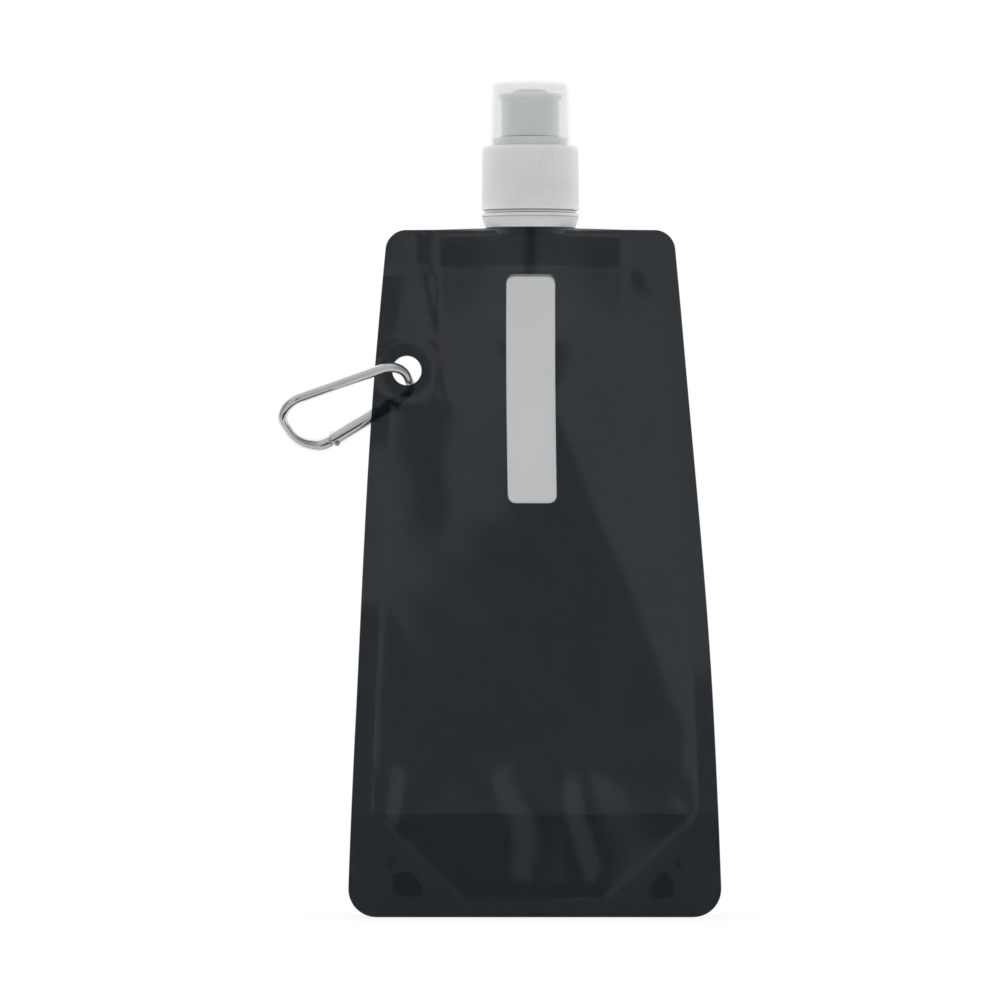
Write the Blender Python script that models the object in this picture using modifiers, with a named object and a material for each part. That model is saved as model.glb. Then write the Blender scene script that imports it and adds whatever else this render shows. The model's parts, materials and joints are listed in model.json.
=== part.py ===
"""Collapsible water bottle: a flat film pouch with a bottom gusset, a spout welded into its top,
a ribbed screw cap with a push-pull nozzle and a clear dust cap, and a small carabiner through
its hang hole.

Metres, +Z up. The spout's axis is Z, the front faces -Y, and z = 0 is the pouch's bottom edge.
Each panel of the pouch is one length of film that folds at FOLD_Z, so it has an upper and a lower
node. What moves hangs on an empty that stands on its joint's axis.
"""

import math

import bmesh
import bpy
from mathutils import Matrix, Vector

MM = 0.001

# Clearances
GAP = 0.3 * MM  # between pieces that touch on the real bottle
PIN_GAP = 0.2 * MM  # round the carabiner's pins and tongues

# Pouch film
FILM = 0.3 * MM
POUCH_HEIGHT = 222.4 * MM
BASE_WIDTH = 121.3 * MM
TOP_WIDTH = 92.6 * MM
SIDE_BOW = 1.8 * MM  # how far each side edge bows outside a straight taper
TOP_CORNER_R = 6.0 * MM
BASE_CORNER_R = 9.5 * MM
SIDE_SEAL = 6.0 * MM
BASE_SEAL = 5.8 * MM
FOLD_Z = 109.0 * MM
FOLD_CLEAR = 0.1 * MM  # from the front film out to the fold's axis
SLACK = 1.5 * MM  # half the gap that the empty pouch keeps between its films
SPREAD_DEPTH = 92.0 * MM  # how far below the spout the films take to come together
SPREAD_POWER = 1.6

# Bottom gusset
GUSSET_HEIGHT = 33.5 * MM
GUSSET_FADE = 12.0 * MM
GUSSET_LEG = FILM + GAP  # from one leg's middle surface to the other's
WELD_HOLES = (  # inset from the base's corner, height, half width, half height
    (12.4 * MM, 15.9 * MM, 1.3 * MM, 3.2 * MM),
    (20.5 * MM, 10.4 * MM, 4.6 * MM, 4.1 * MM),
)

# Hang hole
HANG_INSET = 10.4 * MM  # from the side edge to the hole's centre
HANG_DROP = 45.5 * MM  # from the top edge to the hole's centre
HANG_R = 4.73 * MM
HANG_WELD = 5.0 * MM  # flat welded ring round the hole
HANG_FADE = 9.0 * MM

# Spout fitment
WING_LENGTH = 58.3 * MM
WING_SHOULDER = 1.2 * MM  # how far the wing stands out past the tube through it
WING_TIP = 0.6 * MM  # thickness of the wing's blunt ends
WING_HEIGHT = 10.5 * MM
WING_DROP = 1.6 * MM  # from the pouch's top edge down to the wing's top
WING_RIBS = 5
WING_RIB_DEPTH = 0.5 * MM
SPOUT_WALL = 1.8 * MM
BORE_STEP = 1.6 * MM  # from the neck's bore in to the wing's
FLANGE_LEDGE = 2.0 * MM  # how far the flange stands out past the neck
FLANGE_RISE = 0.6 * MM  # from the pouch's top edge up to the flange
FLANGE_HEIGHT = 2.8 * MM
NECK_R = 12.4 * MM
NECK_WALL = 1.8 * MM
NECK_HEIGHT = 19.8 * MM
NECK_BEAD = 0.8 * MM  # how far the bead over the tamper band stands out
NECK_EDGE = 0.4 * MM

# Tamper band
BAND_HEIGHT = 1.5 * MM
BAND_CHAMFER = 0.6 * MM

# Screw cap
SKIRT_FIT = 0.5 * MM  # from the neck's bead to the skirt: room for the thread
CAP_DRAFT = 0.3 * MM
CAP_WALL = 1.8 * MM
CAP_DECK = 2.5 * MM
CAP_BAND_GAP = 1.1 * MM  # the open line between the band and the cap
CAP_EDGE_R = 1.4 * MM
CAP_LIP = 1.2 * MM  # plain band below the grip ribs
GRIP_RIBS = 66
GRIP_DEPTH = 0.3 * MM
COLLAR_HEIGHT = 2.8 * MM
CHIMNEY_R = 7.2 * MM
CHIMNEY_WALL = 1.8 * MM
CHIMNEY_HEIGHT = 12.8 * MM  # above the cap's deck
CHIMNEY_BEAD = 0.65 * MM
PLUG_R = 2.0 * MM
PLUG_WEB = 1.2 * MM
PLUG_WEBS = 3

# Seal ring
SEAL_THICKNESS = 0.7 * MM

# Push-pull nozzle
NOZZLE_FIT = 0.25 * MM  # from the chimney to the nozzle
NOZZLE_WALL = 1.3 * MM
NOZZLE_RIM = 0.9 * MM
NOZZLE_HEIGHT = 15.3 * MM
NOZZLE_SKIN = 1.3 * MM
NOZZLE_LIP_HEIGHT = 1.5 * MM
NOZZLE_TRAVEL = 5.5 * MM

# Dust cap
DUST_WALL = 0.8 * MM
DUST_ROOM = 2.0 * MM  # from the nozzle's rim to the dust cap's foot
DUST_DRAFT = 0.55 * MM
DUST_EDGE_R = 1.5 * MM
DUST_HEADROOM = 1.4 * MM  # between the nozzle's tip and the dust cap's ceiling

# Carabiner. Corners of the loop in its own plane: along it from the hole, across it towards the
# gate, and the bend's radius
ROD_R = 1.6 * MM
NOSE_ROD_R = 2.1 * MM  # the rod swells to this at the nose
LOOP_NEAR_GATE = (0.7 * MM, 7.3 * MM, 4.9 * MM)
LOOP_NEAR_SPINE = (0.7 * MM, -6.7 * MM, 7.6 * MM)
LOOP_FAR_SPINE = (44.1 * MM, -13.1 * MM, 7.3 * MM)
LOOP_FAR_END = (42.3 * MM, 5.4 * MM, 14.6 * MM)
LOOP_FAR_GATE = (35.4 * MM, 11.7 * MM, 5.9 * MM)
LOOP_DROP = math.radians(25.7)  # how far the loop points below the level, to the left
LOOP_TILT = math.radians(44.0)  # turn about its own length, spine forward
ROD_STUB = 0.3 * MM  # straight rod past each bend, up to the gate
GATE_R = 2.4 * MM
GATE_REACH = 1.9 * MM  # past the rivet
NOSE_REACH = 1.5 * MM  # past the nose pin
TONGUE = 1.4 * MM
TONGUE_HALF = 1.45 * MM
RIVET_R = 0.75 * MM
RIVET_HEAD_R = 1.15 * MM
RIVET_HEAD = 0.45 * MM
NOSE_PIN_R = 0.7 * MM
SPRING_R = 1.1 * MM
SPRING_WIRE_R = 0.18 * MM
SPRING_TURNS = 7
SPRING_LENGTH = 8.8 * MM
PLUNGER_LENGTH = 2.4 * MM
FORK_DEPTH = 0.7 * MM  # from the tongue's round end to the bottom of the gate's slot

# Facets
TURN_STEPS = 36
PIN_STEPS = 12
FILM_COLUMNS = 18
EVEN_SHARE = 0.8  # share of the film's columns that keep an even pitch in the corners


# Radii that follow from the sizes above
SPOUT_BORE_R = NECK_R - NECK_WALL - BORE_STEP
STUB_R = SPOUT_BORE_R + SPOUT_WALL
WING_THICKNESS = 2 * (STUB_R + WING_SHOULDER)
FLANGE_R = NECK_R + FLANGE_LEDGE
SKIRT_R = NECK_R + NECK_BEAD + SKIRT_FIT
CAP_ROOT_R = SKIRT_R + CAP_WALL
CAP_R = CAP_ROOT_R + GRIP_DEPTH
NOZZLE_BORE_R = CHIMNEY_R + CHIMNEY_BEAD + NOZZLE_FIT
NOZZLE_R = NOZZLE_BORE_R + NOZZLE_WALL
NOZZLE_RIM_R = NOZZLE_R + NOZZLE_RIM
DUST_BASE_R = NOZZLE_RIM_R + DUST_ROOM + DUST_WALL
DUST_TOP_R = DUST_BASE_R - DUST_DRAFT
COLLAR_R = DUST_BASE_R - DUST_WALL - GAP

# Heights that follow from the sizes above
WING_TOP = POUCH_HEIGHT - WING_DROP
WING_BASE = WING_TOP - WING_HEIGHT
FLANGE_BASE = POUCH_HEIGHT + FLANGE_RISE
FLANGE_TOP = FLANGE_BASE + FLANGE_HEIGHT
NECK_TOP = FLANGE_TOP + NECK_HEIGHT
BAND_BASE = FLANGE_TOP + GAP
BAND_TOP = BAND_BASE + BAND_HEIGHT
CAP_BASE = BAND_TOP + CAP_BAND_GAP
SEAL_BASE = NECK_TOP + GAP
DECK_BASE = SEAL_BASE + SEAL_THICKNESS + GAP
DECK_TOP = DECK_BASE + CAP_DECK
COLLAR_TOP = DECK_TOP + COLLAR_HEIGHT
CHIMNEY_TOP = DECK_TOP + CHIMNEY_HEIGHT
NOZZLE_BASE = COLLAR_TOP + GAP
NOZZLE_TOP = NOZZLE_BASE + NOZZLE_HEIGHT
DUST_BASE = DECK_TOP + GAP
DUST_TOP = NOZZLE_TOP + DUST_HEADROOM + DUST_WALL
BEAD_BASE = NOZZLE_BASE + NOZZLE_LIP_HEIGHT + NOZZLE_TRAVEL + GAP


def clear_scene():
    for found in list(bpy.data.objects):
        bpy.data.objects.remove(found)


def new_collection(name):
    made = bpy.data.collections.new(name)
    bpy.context.scene.collection.children.link(made)
    return made


def material(name, color, roughness, metallic=0.0, alpha=1.0):
    made = bpy.data.materials.new(name)
    made.use_nodes = True
    shader = made.node_tree.nodes["Principled BSDF"]
    shader.inputs["Base Color"].default_value = (*color, 1.0)
    shader.inputs["Roughness"].default_value = roughness
    shader.inputs["Metallic"].default_value = metallic
    shader.inputs["Alpha"].default_value = alpha
    return made


clear_scene()
PARTS = new_collection("collapsible_water_bottle")
CUTTERS = new_collection("cutters")

SMOKE_FILM = material("smoke_film", (0.012, 0.014, 0.016), 0.25, alpha=0.85)
WHITE_PLASTIC = material("white_moulded_plastic", (0.80, 0.80, 0.79), 0.40)
CLEAR_PLASTIC = material("clear_moulded_plastic", (0.90, 0.91, 0.91), 0.12, alpha=0.35)
SEAL_RUBBER = material("seal_rubber", (0.62, 0.64, 0.64), 0.60)
ALUMINIUM = material("polished_aluminium", (0.86, 0.87, 0.88), 0.18, metallic=1.0)
STEEL = material("pin_steel", (0.66, 0.66, 0.67), 0.25, metallic=1.0)


def place(data, name, finish, group=PARTS):
    """A new object from a mesh or a curve, with its material."""
    data.name = name
    data.materials.clear()
    data.materials.append(finish)
    made = bpy.data.objects.new(name, data)
    group.objects.link(made)
    if group is CUTTERS:
        made.hide_render = True
        made.display_type = "WIRE"
    return made


def smooth_shading(thing, degrees=35.0):
    thing.data.shade_smooth()
    thing.data.set_sharp_from_angle(angle=math.radians(degrees))


def baked(thing):
    """The object's evaluated shape as a plain mesh, welded, in place of its curve or modifiers."""
    bpy.context.view_layer.update()
    graph = bpy.context.evaluated_depsgraph_get()
    mesh = bpy.data.meshes.new_from_object(thing.evaluated_get(graph))
    work = bmesh.new()
    work.from_mesh(mesh)
    bmesh.ops.remove_doubles(work, verts=work.verts, dist=0.005 * MM)
    bmesh.ops.recalc_face_normals(work, faces=work.faces)
    work.to_mesh(mesh)
    work.free()
    name, finish = thing.name, thing.data.materials[0]
    group, where = thing.users_collection[0], thing.matrix_world.copy()
    bpy.data.objects.remove(thing)
    made = place(mesh, name, finish, group)
    made.matrix_world = where
    return made


def boolean(thing, other, operation="DIFFERENCE"):
    step = thing.modifiers.new(other.name, "BOOLEAN")
    step.operation = operation
    step.solver = "EXACT"
    step.object = other


def cut(thing, *cutters):
    for other in cutters:
        boolean(thing, other)


def join(thing, *others):
    for other in others:
        boolean(thing, other, "UNION")


def turned(name, profile, finish, steps=TURN_STEPS, group=PARTS, closed=True):
    """A turned piece. Its profile (radius, height) climbs the inside and runs down the outside."""
    work = bmesh.new()
    points = [work.verts.new((radius, 0.0, height)) for radius, height in profile]
    for first, second in zip(points, points[1:]):
        work.edges.new((first, second))
    if closed:
        work.edges.new((points[-1], points[0]))
    mesh = bpy.data.meshes.new(name)
    work.to_mesh(mesh)
    work.free()
    made = place(mesh, name, finish, group)
    screw = made.modifiers.new("turn", "SCREW")
    screw.steps = steps
    screw.render_steps = steps
    screw.use_merge_vertices = True
    screw.merge_threshold = 0.00001
    made = baked(made)
    smooth_shading(made)
    return made


def cylinder(name, radius, low, high, finish, steps=PIN_STEPS, group=CUTTERS):
    """A cylinder between two points."""
    low, high = Vector(low), Vector(high)
    work = bmesh.new()
    bmesh.ops.create_cone(
        work, cap_ends=True, segments=steps, radius1=radius, radius2=radius, depth=(high - low).length
    )
    mesh = bpy.data.meshes.new(name)
    work.to_mesh(mesh)
    work.free()
    made = place(mesh, name, finish, group)
    turn = Vector((0, 0, 1)).rotation_difference((high - low).normalized()).to_matrix().to_4x4()
    made.matrix_world = Matrix.Translation((low + high) / 2) @ turn
    return made


def box(name, size, where, finish, group=CUTTERS):
    """A box of this size whose own frame is the given matrix."""
    work = bmesh.new()
    bmesh.ops.create_cube(work, size=1.0)
    bmesh.ops.scale(work, vec=size, verts=work.verts)
    mesh = bpy.data.meshes.new(name)
    work.to_mesh(mesh)
    work.free()
    made = place(mesh, name, finish, group)
    made.matrix_world = where
    return made


def arc(radius, start, end, count, centre=(0.0, 0.0)):
    """Points on an arc in the plane, from one angle in degrees to another."""
    found = []
    for step in range(count + 1):
        angle = math.radians(start + (end - start) * step / count)
        found.append((centre[0] + radius * math.cos(angle), centre[1] + radius * math.sin(angle)))
    return found


def lerp(low, high, share):
    return low + (high - low) * share


def ease(start, end, value):
    """0 before start, 1 after end, smooth between."""
    share = min(max((value - start) / (end - start), 0.0), 1.0)
    return share * share * (3 - 2 * share)


# Pouch

def side_width(z):
    """Half the pouch's width at a height, without its rounded corners."""
    share = z / POUCH_HEIGHT
    return lerp(BASE_WIDTH, TOP_WIDTH, share) / 2 + SIDE_BOW * 4 * share * (1 - share)


HANG_Z = POUCH_HEIGHT - HANG_DROP
HANG_X = HANG_INSET - side_width(HANG_Z)


def edge_width(z):
    """Half the pouch's width at a height, with its rounded corners."""
    if z < BASE_CORNER_R:
        radius, depth = BASE_CORNER_R, BASE_CORNER_R - z
    elif z > POUCH_HEIGHT - TOP_CORNER_R:
        radius, depth = TOP_CORNER_R, z - POUCH_HEIGHT + TOP_CORNER_R
    else:
        return side_width(z)
    return side_width(z) - radius + math.sqrt(max(radius**2 - depth**2, 0.0))


def film_x(share, z):
    """Where a column stands: evenly spread inside, drawn in to the rounded edge outside."""
    inner = EVEN_SHARE * side_width(z)
    reach = abs(share)
    if reach <= EVEN_SHARE:
        offset = reach * side_width(z)
    else:
        offset = lerp(inner, edge_width(z), (reach - EVEN_SHARE) / (1 - EVEN_SHARE))
    return math.copysign(offset, share)


def wing_half(x):
    """Half the spout wing's thickness at a distance from its middle."""
    share = min(abs(x) / (WING_LENGTH / 2), 1.0)
    return lerp(WING_THICKNESS / 2, WING_TIP / 2, share * share)


def weld_level(z):
    """Half the gap between the films where they are welded: wider over the gusset's two legs."""
    through = 1 - ease(GUSSET_HEIGHT, GUSSET_HEIGHT + GUSSET_FADE, z)
    return GAP / 2 + (FILM + GAP) * through


def half_gap(x, z):
    """Half the gap between the two films."""
    level = weld_level(z)
    reach = side_width(z) - SIDE_SEAL
    inside = max(1 - (x / reach) ** 2, 0.0)
    from_hole = math.hypot(x - HANG_X, z - HANG_Z)
    free = ease(HANG_R + HANG_WELD, HANG_R + HANG_WELD + HANG_FADE, from_hole)
    flat = level + SLACK * inside * ease(BASE_SEAL, GUSSET_HEIGHT, z)
    tip = WING_LENGTH / 2
    beyond = max(abs(x) - tip, 0.0) / (2 * MM)
    wrapped = lerp(wing_half(x) + GAP, GAP / 2, min(beyond, 1.0))
    spread = max(0.0, 1 - max(WING_BASE - GAP - z, 0.0) / SPREAD_DEPTH) ** SPREAD_POWER
    return lerp(level, lerp(flat, wrapped, spread), free)


def even_rows(low, high, count):
    return [lerp(low, high, step / count) for step in range(count + 1)]


def base_corner_rows():
    return [BASE_CORNER_R * (1 - math.cos(math.radians(angle))) for angle in (0, 25, 45, 65)]


def top_corner_rows():
    start = POUCH_HEIGHT - TOP_CORNER_R
    return [start + TOP_CORNER_R * math.sin(math.radians(angle)) for angle in (0, 30, 50, 70, 90)]


def sheet(name, rows, columns, finish):
    """A film: rows of points, each given by a function of the column's share, thickened."""
    work = bmesh.new()
    grid = []
    for row in rows:
        shares = [lerp(-1.0, 1.0, step / columns) for step in range(columns + 1)]
        grid.append([work.verts.new(row(share)) for share in shares])
    for low, high in zip(grid, grid[1:]):
        for step in range(columns):
            work.faces.new((low[step], low[step + 1], high[step + 1], high[step]))
    mesh = bpy.data.meshes.new(name)
    work.to_mesh(mesh)
    work.free()
    made = place(mesh, name, finish)
    skin = made.modifiers.new("film", "SOLIDIFY")
    skin.thickness = FILM
    skin.offset = 0.0
    made = baked(made)
    smooth_shading(made)
    return made


def pouch_film(name, side, heights):
    """One panel of film. side is -1 for the front, 1 for the back."""

    def row(z):
        return lambda share: (
            film_x(share, z),
            side * (half_gap(film_x(share, z), z) + FILM / 2),
            z,
        )

    return sheet(name, [row(z) for z in heights], FILM_COLUMNS, SMOKE_FILM)


def make_pouch():
    upper = even_rows(FOLD_Z + GAP / 2, WING_BASE - GAP, 9) + top_corner_rows()
    lower = base_corner_rows() + even_rows(BASE_CORNER_R, FOLD_Z - GAP / 2, 5)
    hole = cylinder(
        "hang_hole_cutter",
        HANG_R,
        (HANG_X, -5 * MM, HANG_Z),
        (HANG_X, 5 * MM, HANG_Z),
        SMOKE_FILM,
        steps=32,
    )
    for side, face in ((-1, "front"), (1, "back")):
        pouch_film(f"{face}_film_lower", side, lower)
        cut(pouch_film(f"{face}_film_upper", side, upper), hole)


def make_gusset():
    """One sheet folded into an inverted V, punched where the films weld through it."""
    fold_r = GUSSET_LEG / 2
    fold_z = GUSSET_HEIGHT - fold_r - FILM / 2
    leg = base_corner_rows() + even_rows(BASE_CORNER_R, fold_z, 3)
    path = [(-fold_r, z) for z in leg]
    path += arc(fold_r, 180, 0, 4, (0.0, fold_z))[1:-1]
    path += [(fold_r, z) for z in reversed(leg)]

    def row(y, z):
        return lambda share: (film_x(share, z), y, z)

    gusset = sheet("bottom_gusset", [row(y, z) for y, z in path], 10, SMOKE_FILM)
    for number, (inset, z, half_width, half_height) in enumerate(WELD_HOLES):
        x = BASE_WIDTH / 2 - inset
        for side, hand in ((-1, "left"), (1, "right")):
            punch = cylinder(
                f"weld_punch_{hand}_{number}",
                1.0,
                (side * x, -3 * MM, z),
                (side * x, 3 * MM, z),
                SMOKE_FILM,
                steps=14,
            )
            punch.data.transform(Matrix.Diagonal((half_width, half_height, 1.0, 1.0)))
            cut(gusset, punch)


# Spout, band, cap, nozzle and dust cap

def wing_outline(inset):
    """The wing's plan, clockwise from its right tip, drawn in evenly by an inset."""
    reach = WING_LENGTH / 2 - inset
    places = [reach * math.cos(math.pi * step / 12) for step in range(13)]
    back = [(x, max(wing_half(x) - inset, WING_TIP / 2 - inset / 4)) for x in places]
    return back + [(x, -y) for x, y in reversed(back)]


def make_wing():
    """The boat-shaped wing, with level sealing ribs all round."""
    pitch = WING_HEIGHT / WING_RIBS
    levels = []
    for rib in range(WING_RIBS):
        base = WING_BASE + rib * pitch
        for share, inset in ((0.0, 0.0), (0.55, 0.0), (0.75, WING_RIB_DEPTH)):
            levels.append((base + share * pitch, inset))
    levels.append((WING_TOP, WING_RIB_DEPTH))
    work = bmesh.new()
    rings = [[work.verts.new((x, y, z)) for x, y in wing_outline(inset)] for z, inset in levels]
    count = len(rings[0])
    for low, high in zip(rings, rings[1:]):
        for step in range(count):
            after = (step + 1) % count
            work.faces.new((low[step], low[after], high[after], high[step]))
    work.faces.new(rings[0])
    work.faces.new(rings[-1])
    bmesh.ops.recalc_face_normals(work, faces=work.faces)
    mesh = bpy.data.meshes.new("spout_fitment")
    work.to_mesh(mesh)
    work.free()
    wing = place(mesh, "spout_fitment", WHITE_PLASTIC)
    smooth_shading(wing)
    return wing


def make_spout():
    neck_bore = NECK_R - NECK_WALL
    bead_base = BAND_TOP + GAP
    neck = turned(
        "neck_solid",
        [
            (SPOUT_BORE_R + 0.5 * MM, WING_TOP - 1.5 * MM),
            (neck_bore, FLANGE_TOP),
            (neck_bore, NECK_TOP),
            (NECK_R - NECK_EDGE, NECK_TOP),
            (NECK_R, NECK_TOP - NECK_EDGE),
            (NECK_R, bead_base + 1.6 * MM),
            (NECK_R + NECK_BEAD, bead_base + 1.0 * MM),
            (NECK_R + NECK_BEAD, bead_base + 0.3 * MM),
            (NECK_R, bead_base),
            (NECK_R, FLANGE_TOP),
            (FLANGE_R, FLANGE_TOP),
            (FLANGE_R, FLANGE_BASE),
            (STUB_R, FLANGE_BASE),
            (STUB_R, WING_TOP - 1.5 * MM),
        ],
        WHITE_PLASTIC,
        group=CUTTERS,
    )
    bore = cylinder(
        "spout_bore_cutter",
        SPOUT_BORE_R,
        (0, 0, WING_BASE - 2 * MM),
        (0, 0, FLANGE_TOP + 1 * MM),
        WHITE_PLASTIC,
        steps=TURN_STEPS,
    )
    spout = make_wing()
    join(spout, neck)
    cut(spout, bore)


def make_band():
    inner = NECK_R + NECK_BEAD / 2
    turned(
        "tamper_band",
        [
            (inner, BAND_BASE),
            (inner, BAND_TOP),
            (CAP_R - 0.3 * MM, BAND_TOP),
            (CAP_R, BAND_TOP - 0.3 * MM),
            (CAP_R, BAND_BASE + BAND_CHAMFER),
            (CAP_R - 2 * BAND_CHAMFER, BAND_BASE),
        ],
        WHITE_PLASTIC,
    )


def cap_edge():
    """The radius of the cap's rounded shoulder, limited by the ledge round the collar."""
    return min(CAP_EDGE_R, 0.9 * (CAP_ROOT_R - CAP_DRAFT - COLLAR_R))


def make_cap():
    chimney_bore = CHIMNEY_R - CHIMNEY_WALL
    bead_r = CHIMNEY_R + CHIMNEY_BEAD
    edge = cap_edge()
    shoulder = arc(edge, 90, 0, 3, (CAP_ROOT_R - CAP_DRAFT - edge, DECK_TOP - edge))
    profile = [
        (chimney_bore, DECK_BASE),
        (chimney_bore, CHIMNEY_TOP),
        (CHIMNEY_R - 0.5 * MM, CHIMNEY_TOP),
        (bead_r, CHIMNEY_TOP - 1.0 * MM),
        (bead_r, BEAD_BASE + 0.4 * MM),
        (CHIMNEY_R, BEAD_BASE),
        (CHIMNEY_R, COLLAR_TOP),
        (COLLAR_R - 0.4 * MM, COLLAR_TOP),
        (COLLAR_R, COLLAR_TOP - 0.4 * MM),
        (COLLAR_R, DECK_TOP),
        *shoulder,
        (CAP_ROOT_R, CAP_BASE + CAP_LIP),
        (CAP_R - 0.1 * MM, CAP_BASE + CAP_LIP - 0.3 * MM),
        (CAP_R - 0.1 * MM, CAP_BASE),
        (SKIRT_R, CAP_BASE),
        (SKIRT_R, DECK_BASE),
    ]
    cap = turned("screw_cap", profile, WHITE_PLASTIC)
    join(cap, grip_sleeve(), *plug_pieces(chimney_bore))


def grip_sleeve():
    """The ribbed grip: a sleeve whose outline steps in and out, drawn in towards the top."""
    low, high = CAP_BASE + CAP_LIP, DECK_TOP - cap_edge()
    inner = CAP_ROOT_R - CAP_WALL / 2
    fade = 0.6 * MM
    outline = (
        (low, CAP_R, True),
        (high - fade, CAP_R - CAP_DRAFT, True),
        (high, CAP_ROOT_R - CAP_DRAFT, True),
        (high, inner, False),
        (low, inner, False),
    )
    count = 2 * GRIP_RIBS
    work = bmesh.new()
    rings = []
    for z, crest, ribbed in outline:
        ring = []
        for step in range(count):
            angle = 2 * math.pi * step / count
            radius = crest - GRIP_DEPTH * 0.9 if ribbed and step % 2 else crest
            ring.append(work.verts.new((radius * math.cos(angle), radius * math.sin(angle), z)))
        rings.append(ring)
    for first, second in zip(rings, rings[1:] + rings[:1]):
        for step in range(count):
            after = (step + 1) % count
            work.faces.new((first[step], first[after], second[after], second[step]))
    bmesh.ops.recalc_face_normals(work, faces=work.faces)
    mesh = bpy.data.meshes.new("grip_sleeve")
    work.to_mesh(mesh)
    work.free()
    return place(mesh, "grip_sleeve", WHITE_PLASTIC, CUTTERS)


def plug_pieces(chimney_bore):
    """The fixed plug that closes the nozzle's hole, on its webs across the chimney."""
    web_low, web_high = DECK_TOP + 4 * MM, DECK_TOP + 8 * MM
    plug = turned(
        "nozzle_plug",
        [
            (0.0, NOZZLE_TOP - 0.5 * MM),
            (PLUG_R - 0.6 * MM, NOZZLE_TOP - 0.5 * MM),
            (PLUG_R, NOZZLE_TOP - 1.1 * MM),
            (PLUG_R, web_low),
            (0.0, web_low),
        ],
        WHITE_PLASTIC,
        steps=24,
        group=CUTTERS,
        closed=False,
    )
    pieces = [plug]
    length = chimney_bore - PLUG_R + 1.4 * MM
    for number in range(PLUG_WEBS):
        turn = Matrix.Rotation(2 * math.pi * number / PLUG_WEBS + math.pi / 2, 4, "Z")
        middle = Vector((PLUG_R - 0.6 * MM + length / 2, 0, (web_low + web_high) / 2))
        size = (length, PLUG_WEB, web_high - web_low - 0.4 * MM)
        where = turn @ Matrix.Translation(middle)
        pieces.append(box(f"plug_web_{number}", size, where, WHITE_PLASTIC))
    return pieces


def make_seal():
    inner = NECK_R - NECK_WALL - 0.8 * MM
    outer = SKIRT_R - GAP
    turned(
        "cap_seal_ring",
        [
            (inner, SEAL_BASE),
            (inner, SEAL_BASE + SEAL_THICKNESS),
            (outer, SEAL_BASE + SEAL_THICKNESS),
            (outer, SEAL_BASE),
        ],
        SEAL_RUBBER,
    )


def make_nozzle():
    bore = NOZZLE_BORE_R
    lip = CHIMNEY_R + NOZZLE_FIT
    hole = PLUG_R + GAP
    rim_z = NOZZLE_TOP - 2.1 * MM
    turned(
        "push_pull_nozzle",
        [
            (lip, NOZZLE_BASE),
            (lip, NOZZLE_BASE + NOZZLE_LIP_HEIGHT),
            (bore, NOZZLE_BASE + NOZZLE_LIP_HEIGHT + 0.4 * MM),
            (bore, rim_z - 1.6 * MM),
            (bore - 1.6 * MM, rim_z - 0.4 * MM),
            (hole + 0.8 * MM, NOZZLE_TOP - NOZZLE_SKIN),
            (hole, NOZZLE_TOP - NOZZLE_SKIN),
            (hole, NOZZLE_TOP - 0.3 * MM),
            (hole + 0.3 * MM, NOZZLE_TOP),
            (hole + 1.6 * MM, NOZZLE_TOP),
            (hole + 3.6 * MM, NOZZLE_TOP - 0.6 * MM),
            (NOZZLE_R - 1.0 * MM, rim_z + 0.55 * MM),
            (NOZZLE_RIM_R - 0.4 * MM, rim_z + 0.3 * MM),
            (NOZZLE_RIM_R, rim_z),
            (NOZZLE_RIM_R, rim_z - 0.5 * MM),
            (NOZZLE_R, rim_z - 1.5 * MM),
            (NOZZLE_R, NOZZLE_BASE + 0.3 * MM),
            (NOZZLE_R - 0.3 * MM, NOZZLE_BASE),
        ],
        WHITE_PLASTIC,
    )


def make_dust_cap():
    edge = arc(DUST_EDGE_R, 90, 0, 3, (DUST_TOP_R - DUST_EDGE_R, DUST_TOP - DUST_EDGE_R))
    inner_r = DUST_EDGE_R - DUST_WALL
    inner_edge = arc(inner_r, 0, 90, 2, (DUST_TOP_R - DUST_EDGE_R, DUST_TOP - DUST_EDGE_R))
    turned(
        "dust_cap",
        [
            (0.0, DUST_TOP),
            *edge,
            (DUST_BASE_R, DUST_BASE),
            (DUST_BASE_R - DUST_WALL, DUST_BASE),
            *inner_edge,
            (0.0, DUST_TOP - DUST_WALL),
        ],
        CLEAR_PLASTIC,
        closed=False,
    )


# Carabiner

LOOP_U = Vector((-math.cos(LOOP_DROP), 0, -math.sin(LOOP_DROP)))
LOOP_P = Vector((math.sin(LOOP_DROP), 0, -math.cos(LOOP_DROP)))
LOOP_V = math.cos(LOOP_TILT) * LOOP_P + math.sin(LOOP_TILT) * Vector((0, 1, 0))
LOOP_N = LOOP_U.cross(LOOP_V)
ROD_SLANT = ROD_R / math.sin(LOOP_TILT) + (FILM + GAP / 2) / math.tan(LOOP_TILT)
HANG_AT = Vector((HANG_X, 0, HANG_Z))
LOOP_ORIGIN = HANG_AT + (HANG_R - GAP - ROD_SLANT) * LOOP_P  # the rod rests in the hole


def loop_frame(along, across, turn=0.0):
    """A frame in the loop's plane: X turned from its length by an angle, Z square to the plane."""
    origin = LOOP_ORIGIN + along * LOOP_U + across * LOOP_V
    x_axis = math.cos(turn) * LOOP_U + math.sin(turn) * LOOP_V
    y_axis = LOOP_N.cross(x_axis)
    return Matrix.Translation(origin) @ Matrix((x_axis, y_axis, LOOP_N)).transposed().to_4x4()


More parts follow.
